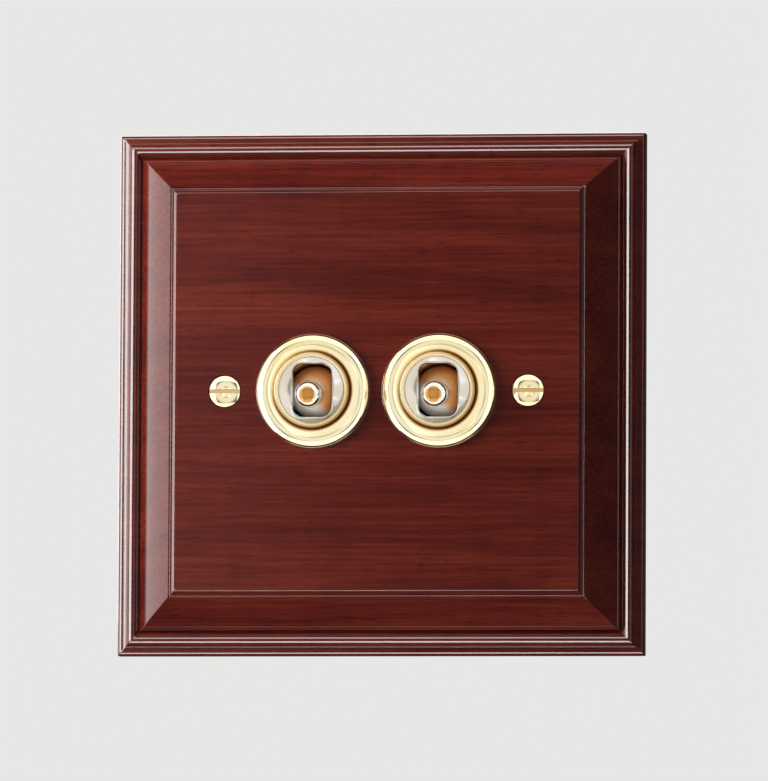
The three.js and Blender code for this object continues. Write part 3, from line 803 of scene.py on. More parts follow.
def turned(name: str, outline: Outline, finish: Finish, centre: Vector | None = None,
           facets: int = 24, **inputs: float) -> bpy.types.Object:
    """Turns an outline round an axis along Y.

    Args:
        name: The piece's name.
        outline: The outline, from the axis back to the axis, or closed on itself.
        finish: The piece's finish.
        centre: A point on the axis.
        facets: How many facets make a quarter turn.
        inputs: Further inputs of the tree, with _ for a space.

    Returns:
        The piece, as a plain mesh.
    """
    values = {"Facets": facets, "Centre": tuple(centre or (0.0, 0.0, 0.0)), "Material": finish.material()}
    values.update({label.replace("_", " ").title(): value for label, value in inputs.items()})
    piece = CARRIED.run(new_object(name, outline.edge_mesh(name)), values)
    face_outwards(piece)
    return piece


def face_outwards(piece: bpy.types.Object) -> None:
    """Closes any open rim with a flat face and turns every face outwards."""
    shape = bmesh.new()
    shape.from_mesh(piece.data)
    rims = [edge for edge in shape.edges if edge.is_boundary]
    if rims:
        bmesh.ops.holes_fill(shape, edges=rims)
    bmesh.ops.recalc_face_normals(shape, faces=shape.faces)
    shape.to_mesh(piece.data)
    shape.free()


def from_shape(name: str, shape: bmesh.types.BMesh, finish: Finish) -> bpy.types.Object:
    """Makes an object with a finish of a bmesh, and frees the bmesh."""
    mesh = bpy.data.meshes.new(name)
    shape.to_mesh(mesh)
    shape.free()
    mesh.materials.append(finish.material())
    return new_object(name, mesh)


def block(name: str, low: Vector, high: Vector, finish: Finish, corner: float = 0.0,
          axis: int = 1) -> bpy.types.Object:
    """A block between two corners.

    Args:
        name: The piece's name.
        low: Its lowest corner.
        high: Its highest corner.
        finish: The piece's finish.
        corner: The radius of the four edges along the axis.
        axis: The axis that the rounded edges run along: 0, 1 or 2.

    Returns:
        The block.
    """
    shape = bmesh.new()
    bmesh.ops.create_cube(shape, size=1.0)
    size, middle = high - low, (high + low) / 2
    bmesh.ops.scale(shape, vec=size, verts=shape.verts)
    bmesh.ops.translate(shape, vec=middle, verts=shape.verts)
    if corner:
        along = [e for e in shape.edges
                 if abs((e.verts[0].co - e.verts[1].co)[axis]) > size[axis] * 0.99]
        bmesh.ops.bevel(shape, geom=along, offset=corner, segments=6, affect="EDGES", profile=0.5)
    return from_shape(name, shape, finish)


def rod(name: str, centre: Vector, radius: float, length: float, axis: str, finish: Finish,
        sides: int = 48) -> bpy.types.Object:
    """A round bar.

    Args:
        name: The piece's name.
        centre: Its middle.
        radius: Its radius.
        length: Its length.
        axis: X, Y or Z.
        finish: The piece's finish.
        sides: The facets round it.

    Returns:
        The bar.
    """
    turn = {"X": Matrix.Rotation(math.pi / 2, 4, "Y"), "Y": Matrix.Rotation(math.pi / 2, 4, "X"),
            "Z": Matrix.Identity(4)}[axis]
    shape = bmesh.new()
    bmesh.ops.create_cone(shape, cap_ends=True, segments=sides, radius1=radius, radius2=radius,
                          depth=length, matrix=Matrix.Translation(centre) @ turn)
    return from_shape(name, shape, finish)


def discard(objects: list[bpy.types.Object]) -> None:
    """Removes objects and their meshes."""
    for one in objects:
        mesh = one.data
        bpy.data.objects.remove(one)
        bpy.data.meshes.remove(mesh)


def carve(piece: bpy.types.Object, cutters: list[bpy.types.Object],
          operation: str = "DIFFERENCE") -> bpy.types.Object:
    """Cuts each cutter out of a piece, or joins it on with UNION, and removes the cutters."""
    for cutter in cutters:
        modifier = piece.modifiers.new("cut", "BOOLEAN")
        modifier.operation = operation
        modifier.solver = "EXACT"
        modifier.object = cutter
    settle(piece)
    discard(cutters)
    return piece


def drill(entry: Vector, into: Vector, radius: float, depth: float, chamfer: float = 0.0,
          facets: int = 14) -> bpy.types.Object:
    """A cutter for a round hole with a chamfered mouth.

    Args:
        entry: The middle of its mouth, on the face that it starts from.
        into: The direction that it goes in.
        radius: Its radius in millimetres.
        depth: Its depth in millimetres.
        chamfer: The chamfer round its mouth in millimetres.
        facets: How many facets make a quarter turn.

    Returns:
        The cutter.
    """
    wide = radius + chamfer + PAST if chamfer else radius
    path = Outline(0.0, -PAST).to(wide, -PAST).to(radius, chamfer).to(radius, depth).to(0.0, depth)
    cutter = turned("drill", path, PHENOLIC, facets=facets)
    turn = Vector((0.0, 1.0, 0.0)).rotation_difference(into).to_matrix().to_4x4()
    return moved(cutter, Matrix.Translation(entry) @ turn)


def copies(name: str, pattern: bpy.types.Object, places: list[Vector], finish: Finish,
           turn: float = 0.0) -> bpy.types.Object:
    """Puts a copy of a pattern at each place, and removes the pattern.

    Args:
        name: The piece's name.
        pattern: The pattern, made about the origin.
        places: Where the copies go.
        finish: The piece's finish.
        turn: How far each is turned about Y at random, either way, in radians.

    Returns:
        The copies, as one piece.
    """
    mesh = bpy.data.meshes.new(name)
    mesh.from_pydata([tuple(place) for place in places], [], [])
    values = {"Pattern": pattern, "Turn": turn, "Material": finish.material()}
    piece = COPIES.run(new_object(name, mesh), values)
    discard([pattern])
    return piece


def ease_edges(piece: bpy.types.Object, width: float, over: float = 40.0,
               segments: int = 3) -> bpy.types.Object:
    """Rounds a piece's sharp edges.

    Args:
        piece: The piece.
        width: How far the rounding reaches from each edge.
        over: The sharpest turn, in degrees, that is left as it is.
        segments: How many facets make the rounding.

    Returns:
        The piece.
    """
    modifier = piece.modifiers.new("ease", "BEVEL")
    modifier.width = width
    modifier.segments = segments
    modifier.limit_method = "ANGLE"
    modifier.angle_limit = math.radians(over)
    modifier.use_clamp_overlap = True
    return settle(piece)


def shade(piece: bpy.types.Object, crease: float = 50.0) -> None:
    """Shades a piece smoothly up to its creases, with its wide faces left flat."""
    piece.data.shade_smooth()
    piece.data.set_sharp_from_angle(angle=math.radians(crease))
    modifier = piece.modifiers.new("weigh", "WEIGHTED_NORMAL")
    modifier.keep_sharp = True
    settle(piece)


def moved(piece: bpy.types.Object, place: Matrix) -> bpy.types.Object:
    """Moves a piece's mesh, and leaves its object at the origin."""
    piece.data.transform(place)
    piece.data.update()
    return piece


def middle(node: str, depth: float | None = None) -> Vector:
    """The middle of a CAD node's box, or the point over it at a depth in metres."""
    low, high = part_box(node)
    centre = (low + high) / 2
    if depth is not None:
        centre.y = depth
    return centre


def hand_over(piece: bpy.types.Object, finish: Finish, nodes: list[str], body: str = STATIC_BODY) -> None:
    """Shades a finished piece, puts it on its body and hides the CAD nodes that it stands for.

    Args:
        piece: The finished piece.
        finish: Its finish.
        nodes: The CAD nodes that it replaces.
        body: The CAD body that it moves with.
    """
    shade(piece)
    piece.data.materials.clear()
    piece.data.materials.append(finish.material())
    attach(piece, body)
    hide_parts(*nodes)
    LOG.info("%s: %d faces on %s, in place of %s", piece.name, len(piece.data.polygons), body, nodes)


def dress_node(node: bpy.types.Object, finish: Finish) -> None:
    """Gives a CAD node that stays in view its finish."""
    node.data.materials.clear()
    node.data.materials.append(finish.material())
    LOG.info("%s: dressed in %s", node.name, finish.name)


# ------------------------------------------------------------------ plate


@dataclass
class MouldedPlate:
    """The mahogany plate: an outline carried round it with mitred corners, and a pocket in its back."""

    back_ease: float = 0.25
    edge_height: float = 3.0
    arris: float = 0.6
    arris_stretch: float = 1.25
    lip: float = 1.7
    lip_ease: float = 0.12
    bead: float = 1.3
    bead_rise: float = 0.6
    quirk: float = 0.1
    ovolo: float = 6.7
    ovolo_turn: float = 26.0
    groove: float = 0.3
    groove_ease: float = 0.1
    riser: float = 0.9
    riser_height: float = 1.1
    panel_ease: float = 0.22
    mitre_ease: float = 0.16
    pocket_rim: float = 9.0
    pocket_corner: float = 1.5
    panel_thickness: float = 5.5
    bush_radius: float = 7.5
    bush_gap: float = 0.3
    screw_gap: float = 0.22
    hole_sides: int = 96
    depth: float = field(init=False)

    def __post_init__(self) -> None:
        """Reads the plate's depth from the frame."""
        low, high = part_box("wood_plate")
        self.low, self.high = low, high
        self.depth = (high.y - low.y) / MM

    def outline(self) -> Outline:
        """The moulding from the back of its edge up to the panel, as (out from the edge, depth)."""
        lip_top = -(self.edge_height + self.arris)
        bead_middle = (-(self.lip + self.bead), lip_top - self.bead_rise)
        quirk = (bead_middle[0] - self.bead - self.quirk, bead_middle[1])
        top = (quirk[0] - self.ovolo, -(self.depth - self.riser_height))
        foot = (top[0] - self.groove, top[1] + self.groove)
        panel_edge = (foot[0] - self.riser, -self.depth)
        path = Outline(-self.back_ease * 3, 0.0).ease(0.0, 0.0, self.back_ease, (0.0, -1.0))
        path.swell(
            (-self.arris * self.arris_stretch, lip_top), (0.0, -self.edge_height), 12, upwards=True)
        path.ease(-self.lip, lip_top, self.lip_ease, (-self.lip, bead_middle[1]), 3)
        path.arc(bead_middle, self.bead, 0.0, -180.0, 22).to(*quirk)
        self._ovolo(path, quirk, top)
        path.ease(*foot, self.groove_ease, panel_edge, 3)
        path.ease(*panel_edge, self.panel_ease, (panel_edge[0] - 1.0, panel_edge[1]), 5)
        return path.to(panel_edge[0] - self.panel_ease * 3, panel_edge[1])

    def _ovolo(self, path: Outline, quirk: Point, top: Point) -> None:
        """Adds the convex arc that stands on the chord from the quirk to its top."""
        chord = Vector(top) - Vector(quirk)
        half_turn = math.radians(self.ovolo_turn) / 2
        radius = chord.length / 2 / math.sin(half_turn)
        across = Vector((-chord.y, chord.x)).normalized()
        if across.y < 0:
            across.negate()
        centre = (Vector(quirk) + Vector(top)) / 2 + across * radius * math.cos(half_turn)
        start, end = (math.degrees(math.atan2(*(Vector(p) - centre).yx)) for p in (quirk, top))
        path.arc(tuple(centre), radius, start, end, 26)

    def build(self) -> None:
        """Makes the plate and puts it in place of its CAD node."""
        half = (self.high - self.low) / 2
        plate = turned(
            "moulded_plate", self.outline(), MAHOGANY, facets=3, mitred=1.0, half_width=half.x,
            half_height=half.z, corner_radius=self.mitre_ease * MM)
        carve(plate, self._recesses(half))
        hand_over(plate, MAHOGANY, ["wood_plate"])

    def _recesses(self, half: Vector) -> list[bpy.types.Object]:
        """The tools for the pocket, the bores for the bushes and the countersunk screw holes."""
        pocket_floor = -(self.depth - self.panel_thickness) * MM
        inner = Vector((half.x - self.pocket_rim * MM, 0.0, half.z - self.pocket_rim * MM))
        tools = [block("pocket", Vector((-inner.x, pocket_floor, -inner.z)),
                       Vector((inner.x, 5 * MM, inner.z)), MAHOGANY, self.pocket_corner * MM)]
        for side in SIDES:
            radius = (self.bush_radius + self.bush_gap) * MM
            tools.append(rod("bore", middle(f"rose_{side}", 0.0), radius, THROUGH, "Y", MAHOGANY,
                             self.hole_sides))
            tools.append(FixingScrew(side).solid("sink", self.screw_gap))
        return tools


# ------------------------------------------------------------------ fixing screws


@dataclass
class FixingScrew:
    """A raised countersunk brass screw with a cut thread, its slot level with the plate."""

    side: str
    head_rise: float = 0.9
    head_ease: float = 0.12
    neck_ease: float = 0.5
    tip_ease: float = 0.1
    tip_bevel: float = 0.45
    shank: float = 1.75
    plain: float = 9.0
    pitch: float = 0.6
    thread_depth: float = 0.3
    rings_per_pitch: int = 8
    slot_width: float = 0.8
    slot_depth: float = 1.0

    def __post_init__(self) -> None:
        """Reads the screw's place and size from the frame."""
        low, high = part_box(f"fixing_screw_{self.side}")
        self.head = (high.x - low.x) / 2 / MM
        self.top, self.tip = low.y / MM, high.y / MM
        self.axis = middle(f"fixing_screw_{self.side}", 0.0)

    def outline(self, gap: float) -> Outline:
        """The screw's outline grown by a gap, from the top of its head to its tip."""
        face = self.top + self.head_rise
        head, shank = self.head + gap, self.shank + gap
        crown = Outline(0.0, self.top - gap)
        radius = (head ** 2 + self.head_rise ** 2) / (2 * self.head_rise)
        reach = math.degrees(math.asin(head / radius))
        crown.arc((0.0, face - self.head_rise + radius - gap), radius, -90.0, -90.0 + reach, 16)
        crown.ease(head, face + self.head_ease, self.head_ease, (shank, face + head - shank), 4)
        crown.ease(shank, face + head - shank + self.head_ease, self.neck_ease, (shank, self.tip), 5)
        step = self.pitch / self.rings_per_pitch
        start, end = face + self.plain, self.tip - self.pitch
        for ring in range(int((end - start) / step) + 1):
            crown.to(shank, start + ring * step)
        crown.to(shank - self.tip_ease, self.tip - self.tip_bevel)
        return crown.to(shank - self.tip_bevel - self.tip_ease / 2, self.tip).to(0.0, self.tip)

    def solid(self, name: str, gap: float) -> bpy.types.Object:
        """The screw's body, grown by a gap, with its thread cut only where there is none."""
        threaded = 0.0 if gap else self.thread_depth * MM
        start = (self.top + self.head_rise + self.plain) * MM
        return turned(name, self.outline(gap), BRASS, self.axis, 16, thread_depth=threaded,
                      thread_pitch=self.pitch * MM, thread_start=start,
                      thread_end=(self.tip - self.pitch) * MM)

    def build(self) -> None:
        """Makes the screw, cuts its slot and puts it in place of its CAD node."""
        screw = self.solid(f"slotted_screw_{self.side}", 0.0)
        half = Vector((self.head + 1.0, 0.0, self.slot_width / 2)) * MM
        floor = (self.top + self.slot_depth) * MM
        low = self.axis - half + Vector((0.0, (self.top - 1.0) * MM, 0.0))
        high = self.axis + half + Vector((0.0, floor, 0.0))
        carve(screw, [block("slot", low, high, BRASS)])
        hand_over(screw, BRASS, [f"fixing_screw_{self.side}"])


# ------------------------------------------------------------------ brass fittings of a gang


@dataclass
class Rose:
    """The domed ring nut that clamps a switch to the panel."""

    side: str
    bore: float = 7.6
    chamfer: float = 0.35
    land: float = 0.45
    edge: float = 0.6
    bore_ease: float = 0.15
    land_ease: float = 0.25
    foot_ease: float = 0.12
    facets: int = 40

    def build(self) -> None:
        """Makes the ring and puts it in place of its CAD node."""
        low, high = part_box(f"rose_{self.side}")
        radius, top, foot = (high.x - low.x) / 2 / MM, low.y / MM, high.y / MM
        shoulder = self.bore + self.chamfer
        path = Outline(self.bore, foot)
        path.ease(self.bore, top + self.chamfer, self.bore_ease, (shoulder, top))
        path.ease(shoulder, top, self.land_ease, (shoulder + self.land, top))
        path.swell((shoulder + self.land, top), (radius, foot - self.edge), 18)
        path.ease(radius, foot, self.foot_ease, (self.bore, foot)).close()
        node = f"rose_{self.side}"
        hand_over(turned(f"brass_{node}", path, BRASS, middle(node, 0.0), self.facets), BRASS, [node])


@dataclass
class Bush:
    """The collar that the dolly turns in, with a rounded rim, a dished face and an oblong mouth."""

    side: str
    barrel: float = 7.5
    rim: float = 0.5
    dish_depth: float = 2.6
    mouth_half_width: float = 3.9
    mouth_margin: float = 1.2
    mouth_corner: float = 2.0
    mouth_ease: float = 0.22
    mouth_land: float = 0.05
    mouth_steps: int = 4
    barrel_ease: float = 0.2
    flange_ease: float = 0.15
    cavity: float = 5.65
    lip: float = 0.4
    flange_thickness: float = 1.5
    pin_hole: float = 1.1
    pin_hole_sides: int = 32
    around: int = 192
    dish_rings: int = 12

    def __post_init__(self) -> None:
        """Reads the collar's place and size from the frame."""
        low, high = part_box(f"bush_{self.side}")
        self.axis = middle(f"bush_{self.side}", 0.0)
        self.flange = (high.x - low.x) / 2 / MM
        self.front, self.back = low.y / MM + self.rim, high.y / MM
        self.dish_edge = self.barrel - 2 * self.rim

    def dish(self, radius: float) -> float:
        """The depth of the dished face at a radius."""
        arc = (self.dish_edge ** 2 + self.dish_depth ** 2) / (2 * self.dish_depth)
        return self.front + self.dish_depth - arc + math.sqrt(arc ** 2 - radius ** 2)

    def mouth(self, angle: float) -> float:
        """The distance from the axis to the mouth's edge along an angle: a rounded oblong."""
        across, up = abs(math.cos(angle)), abs(math.sin(angle))
        half_height = self.dish_edge - self.mouth_margin
        core = (self.mouth_half_width - self.mouth_corner, half_height - self.mouth_corner)
        side = self.mouth_half_width / max(across, 1e-9)
        end = half_height / max(up, 1e-9)
        reach = min(side, end)
        if reach * across > core[0] and reach * up > core[1]:
            along = across * core[0] + up * core[1]
            gap = core[0] ** 2 + core[1] ** 2 - self.mouth_corner ** 2
            reach = along + math.sqrt(along ** 2 - gap)
        return reach

    def rings(self) -> list[list[Point]]:
        """The collar's surface as rings of (radius, depth), each with a point for every angle."""
        angles = [2 * math.pi * step / self.around for step in range(self.around)]
        mouth = [self.mouth(angle) for angle in angles]
        cavity_front = self.front + self.dish_depth + self.lip
        rings = [[(m, cavity_front) for m in mouth]]
        for step in range(self.mouth_steps + 1):
            turn = math.pi / 2 * step / self.mouth_steps
            ring = []
            for m in mouth:
                out = m + self.mouth_ease * (1 - math.cos(turn))
                depth = self.dish(m + self.mouth_ease) + self.mouth_ease * (1 - math.sin(turn))
                ring.append((out, min(depth, cavity_front - self.mouth_land)))
            rings.append(ring)
        for step in range(1, self.dish_rings + 1):
            share = step / self.dish_rings
            radii = [(m + self.mouth_ease) * (1 - share) + self.dish_edge * share for m in mouth]
            rings.append([(r, self.dish(r)) for r in radii])
        flange_front = self.back - self.flange_thickness
        body = Outline(self.dish_edge, self.front)
        body.arc((self.barrel - self.rim, self.front), self.rim, -180.0, 0.0, 14)
        body.ease(self.barrel, flange_front, self.barrel_ease, (self.flange, flange_front))
        corners = [(self.flange, flange_front), (self.flange, self.back), (self.cavity, self.back),
                   (self.cavity, cavity_front)]
        for corner, onward in zip(corners, corners[1:]):
            body.ease(*corner, self.flange_ease, onward)
        body.to(*corners[-1])
        rings += [[point] * self.around for point in body.points[2:]]
        return rings

    def build(self) -> None:
        """Makes the collar, bores it for the pin and puts it in place of its CAD node."""
        rings = self.rings()
        count = self.around
        verts = []
        for ring in rings:
            for step, (radius, depth) in enumerate(ring):
                angle = 2 * math.pi * step / count
                offset = Vector((radius * math.cos(angle), depth, radius * math.sin(angle))) * MM
                verts.append(self.axis + offset)
        faces = []
        for row in range(len(rings)):
            after = (row + 1) % len(rings)
            for step in range(count):
                beside = (step + 1) % count
                faces.append((row * count + step, row * count + beside,
                              after * count + beside, after * count + step))
        name = f"brass_bush_{self.side}"
        mesh = bpy.data.meshes.new(name)
        mesh.from_pydata(verts, [], faces)
        mesh.materials.append(BRASS.material())
        bush = new_object(name, mesh)
        face_outwards(bush)
        carve(bush, [rod("pin_hole", middle(f"pivot_pin_{self.side}"), self.pin_hole * MM, THROUGH, "X",
                         BRASS, self.pin_hole_sides)])
        hand_over(bush, BRASS, [f"bush_{self.side}"])


@dataclass
class Dolly:
    """The lever: a ball end on a slim neck that flares into the ball it turns on, with a bored tail."""

    side: str
    knob: float = 2.7
    knob_reach: float = 11.8
    neck: float = 1.6
    knob_fillet: float = 0.9
    flare: float = 2.3
    ball: float = 5.2
    tail: float = 2.9
    tail_reach: float = 9.5
    bore: float = 1.9
    bore_floor: float = 2.9
    tail_ease: float = 0.25
    bore_ease: float = 0.15
    pin_hole: float = 1.15
    pin_hole_sides: int = 32
    tilt: float = 6.0
    facets: int = 32

    def outline(self) -> Outline:
        """The lever about its pivot, from the tip of its knob to the bottom of the bore in its tail."""
        knob_middle = -self.knob_reach
        fillet_out = self.neck + self.knob_fillet
        fillet_y = knob_middle + math.sqrt((self.knob + self.knob_fillet) ** 2 - fillet_out ** 2)
        knob_end = math.degrees(math.atan2(fillet_y - knob_middle, fillet_out))
        flare_out = self.neck + self.flare
        flare_y = -math.sqrt((self.ball + self.flare) ** 2 - flare_out ** 2)
        flare_end = math.degrees(math.atan2(flare_y, flare_out))
        tail_end = math.degrees(math.acos(self.tail / self.ball))
        path = Outline(0.0, knob_middle - self.knob)
        path.arc((0.0, knob_middle), self.knob, -90.0, knob_end, 26)
        path.arc((fillet_out, fillet_y), self.knob_fillet, 180.0 + knob_end, 180.0, 6)
        path.arc((flare_out, flare_y), self.flare, 180.0, 180.0 + flare_end, 9)
        path.arc((0.0, 0.0), self.ball, flare_end, tail_end, 26)
        path.ease(self.tail, self.tail_reach, self.tail_ease, (self.bore, self.tail_reach))
        path.ease(self.bore, self.tail_reach, self.bore_ease, (self.bore, self.bore_floor))
        return path.to(self.bore, self.bore_floor).to(0.0, self.bore_floor)

    def tilted(self, pivot: Vector) -> Matrix:
        """The move from the lever's own axis to its rest, with its knob down."""
        return Matrix.Translation(pivot) @ Matrix.Rotation(math.radians(self.tilt), 4, "X")

    def build(self) -> None:
        """Makes the lever, its plunger and its spring, and puts them in place of their CAD nodes."""
        pivot = middle(f"pivot_pin_{self.side}")
        body = f"dolly_{self.side}_body"
        lever = turned(f"brass_dolly_{self.side}", self.outline(), BRASS, facets=self.facets)
        carve(lever, [rod("pin_hole", Vector(), self.pin_hole * MM, THROUGH, "X", BRASS,
                         self.pin_hole_sides)])
        hand_over(moved(lever, self.tilted(pivot)), BRASS, [f"dolly_{self.side}"], body)
        self._plunger(pivot)
        self._spring(pivot, body)

    def _plunger(self, pivot: Vector, radius: float = 1.6, back: float = 6.5, tip: float = 13.5) -> None:
        """Makes the round-nosed plunger in the lever's tail."""
        path = Outline(0.0, back).ease(radius, back, 0.2, (radius, tip))
        path.arc((0.0, tip - radius), radius, 0.0, 90.0, 12)
        nose = turned(f"brass_plunger_{self.side}", path, TURNED_BRASS, facets=10)
        hand_over(moved(nose, self.tilted(pivot)), TURNED_BRASS, [f"plunger_{self.side}"],
                  f"plunger_{self.side}_body")

    def _spring(self, pivot: Vector, body: str, wire: float = 0.18, front: float = 3.2,
                back: float = 6.2) -> None:
        """Makes the spring behind the plunger."""
        name = f"plunger_spring_{self.side}"
        coil = COIL.run(new_object(name, bpy.data.meshes.new(name)), {
            "Coil Radius": (self.bore - 2 * wire) * MM, "Wire Radius": wire * MM,
            "Front": front * MM, "Back": back * MM, "Turns": 5.0, "Material": SPRING_STEEL.material(),
        })
        face_outwards(coil)
        place = self.tilted(pivot)
        hand_over(moved(coil, place), SPRING_STEEL, [f"spring_{self.side}"], body)
        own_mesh(coil)


# ------------------------------------------------------------------ behind the panel


@dataclass
class SlottedScrew:
    """A pattern for a small slotted screw, its head behind the origin and its shank in front of it."""

    head: float
    height: float
    crown: float
    shank: float
    length: float
    point: float
    pitch: float
    thread: float
    nose: Point = (0.35, 0.30)
    slot_width: float = 0.7
    edge: float = 0.2
    rings_per_pitch: int = 8
    facets: int = 10

    def pattern(self, finish: Finish) -> bpy.types.Object:
        """Turns the screw with its thread, and cuts its slot."""
        start, end = -self.length + self.point, -self.edge
        path = Outline(0.0, -self.length)
        path.to(self.shank * self.nose[0], -self.length + self.point * self.nose[1])
        step = self.pitch / self.rings_per_pitch
        for ring in range(int((end - start) / step) + 1):
            path.to(self.shank, start + ring * step)
        path.to(self.shank, 0.0).ease(self.head, 0.0, self.edge, (self.head, self.height))
        path.swell((0.0, self.height), (self.head, self.height - self.crown), 10, upwards=True)
        screw = turned("screw_pattern", path, finish, facets=self.facets, thread_depth=self.thread * MM,
                       thread_pitch=self.pitch * MM, thread_start=start * MM, thread_end=end * MM)
        low = Vector((-self.head * 2, self.height / 2, -self.slot_width / 2)) * MM
        high = Vector((self.head * 2, self.height * 2, self.slot_width / 2)) * MM
        return carve(screw, [block("slot", low, high, finish)])


@dataclass
class RearMounting:
    """The zinc-plated strap behind the panel, its four wood screws and its earth terminal."""

    corner: float = 3.0
    edge: float = 0.15
    bush_hole: float = 7.7
    fixing_hole: float = 2.15
    wood_hole: float = 1.5
    earth_hole: float = 1.8
    spigot: float = 1.6
    screws: int = 4
    screw_turn: float = 1.2

    def build(self) -> None:
        """Makes the strap and what is fastened to it."""
        low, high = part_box("backing_strap")
        strap = ease_edges(block("zinc_strap", low, high, ZINC, self.corner * MM), self.edge * MM)
        wood_screws = [f"wood_screw_{number + 1}" for number in range(self.screws)]
        holes = [(f"bush_{side}", self.bush_hole) for side in SIDES]
        holes += [(f"fixing_screw_{side}", self.fixing_hole) for side in SIDES]
        holes += [(node, self.wood_hole) for node in wood_screws] + [("earth_block", self.earth_hole)]
        tools = []
        for node, radius in holes:
            deep = (high.y - low.y) / MM + PAST
            tools.append(drill(middle(node, high.y), FORWARDS, radius, deep, self.edge))
        hand_over(carve(strap, tools), ZINC, ["backing_strap"])
        self._wood_screws(wood_screws)
        self._earth()

    def _wood_screws(self, nodes: list[str]) -> None:
        """Makes the round-headed screws that hold the strap to the panel."""
        low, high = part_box(nodes[0])
        screw = SlottedScrew(head=2.5, height=1.3, crown=1.1, shank=1.3, point=1.3, pitch=0.9,
                             thread=0.3, length=(high.y - low.y) / MM - 1.3)
        places = [middle(node, high.y - screw.height * MM) for node in nodes]
        screws = copies("round_head_wood_screws", screw.pattern(ZINC), places, ZINC, self.screw_turn)
        hand_over(screws, ZINC, nodes)

    def _earth(self) -> None:
        """Makes the earth terminal, which stands on a spigot through the strap."""
        low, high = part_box("earth_block")
        side = high.x - low.x
        front = Vector((low.x, high.y - side, low.z))
        block_piece = TerminalBlock().pattern("brass_earth_block", front, high, Vector((1.0, 0.0, 0.0)))
        centre = middle("earth_block", low.y) + Vector((0.0, side / 2, 0.0))
        peg = rod("spigot", centre, self.spigot * MM, side, "Y", TURNED_BRASS)
        clear_low, clear_high = Vector((-side, side / 4, -side)), Vector((side, side, side))
        carve(peg, [block("clear", front + clear_low, high + clear_high, TURNED_BRASS)])
        fused = carve(block_piece, [peg], "UNION")
        hand_over(fused, TURNED_BRASS, ["earth_block"])
        hand_over(terminal_screws("brass_earth_screw", ["earth_screw"]), TURNED_BRASS, ["earth_screw"])


@dataclass
class TerminalBlock:
    """A brass block with a tunnel for the wire across it, and a tapped hole for its screw."""

    tunnel: float = 1.8
    wall: float = 0.5
    corner: float = 0.35
    edge: float = 0.18

    def pattern(self, name: str, low: Vector, high: Vector, wire: Vector) -> bpy.types.Object:
        """Makes the block.

        Args:
            name: The piece's name.
            low: Its lowest corner.
            high: Its highest corner.
            wire: The direction that its wire runs in.

        Returns:
            The block, drilled.
        """
        piece = ease_edges(block(name, low, high, TURNED_BRASS, self.corner * MM), self.edge * MM)
        centre, size = (low + high) / 2, (high - low).y
        crossing = Vector((centre.x, low.y + (self.wall + self.tunnel) * MM, centre.z))
        tapped = Vector((centre.x, high.y, centre.z))
        across = size / MM + PAST
        return carve(piece, [
            drill(crossing - wire * size / 2, wire, self.tunnel, across, self.edge),
            drill(crossing + wire * size / 2, -wire, self.tunnel, PAST / 2, self.edge),
            drill(tapped, FORWARDS, self.tunnel, (high.y - crossing.y) / MM, self.edge),
        ])


def terminal_screws(name: str, nodes: list[str], turn: float = 1.5) -> bpy.types.Object:
    """Makes the cheese-headed screws of some terminals, all of one size.

    Args:
        name: The piece's name.
        nodes: The CAD nodes of the screws.
        turn: How far each is turned at random, either way, in radians.

    Returns:
        The screws, as one piece.
    """
    low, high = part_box(nodes[0])
    screw = SlottedScrew(head=2.3, height=1.4, crown=0.35, shank=1.6, length=(high.y - low.y) / MM - 1.4,
                         point=0.3, pitch=0.5, thread=0.2)
    places = [middle(node, high.y - screw.height * MM) for node in nodes]
    return copies(name, screw.pattern(TURNED_BRASS), places, TURNED_BRASS, turn)


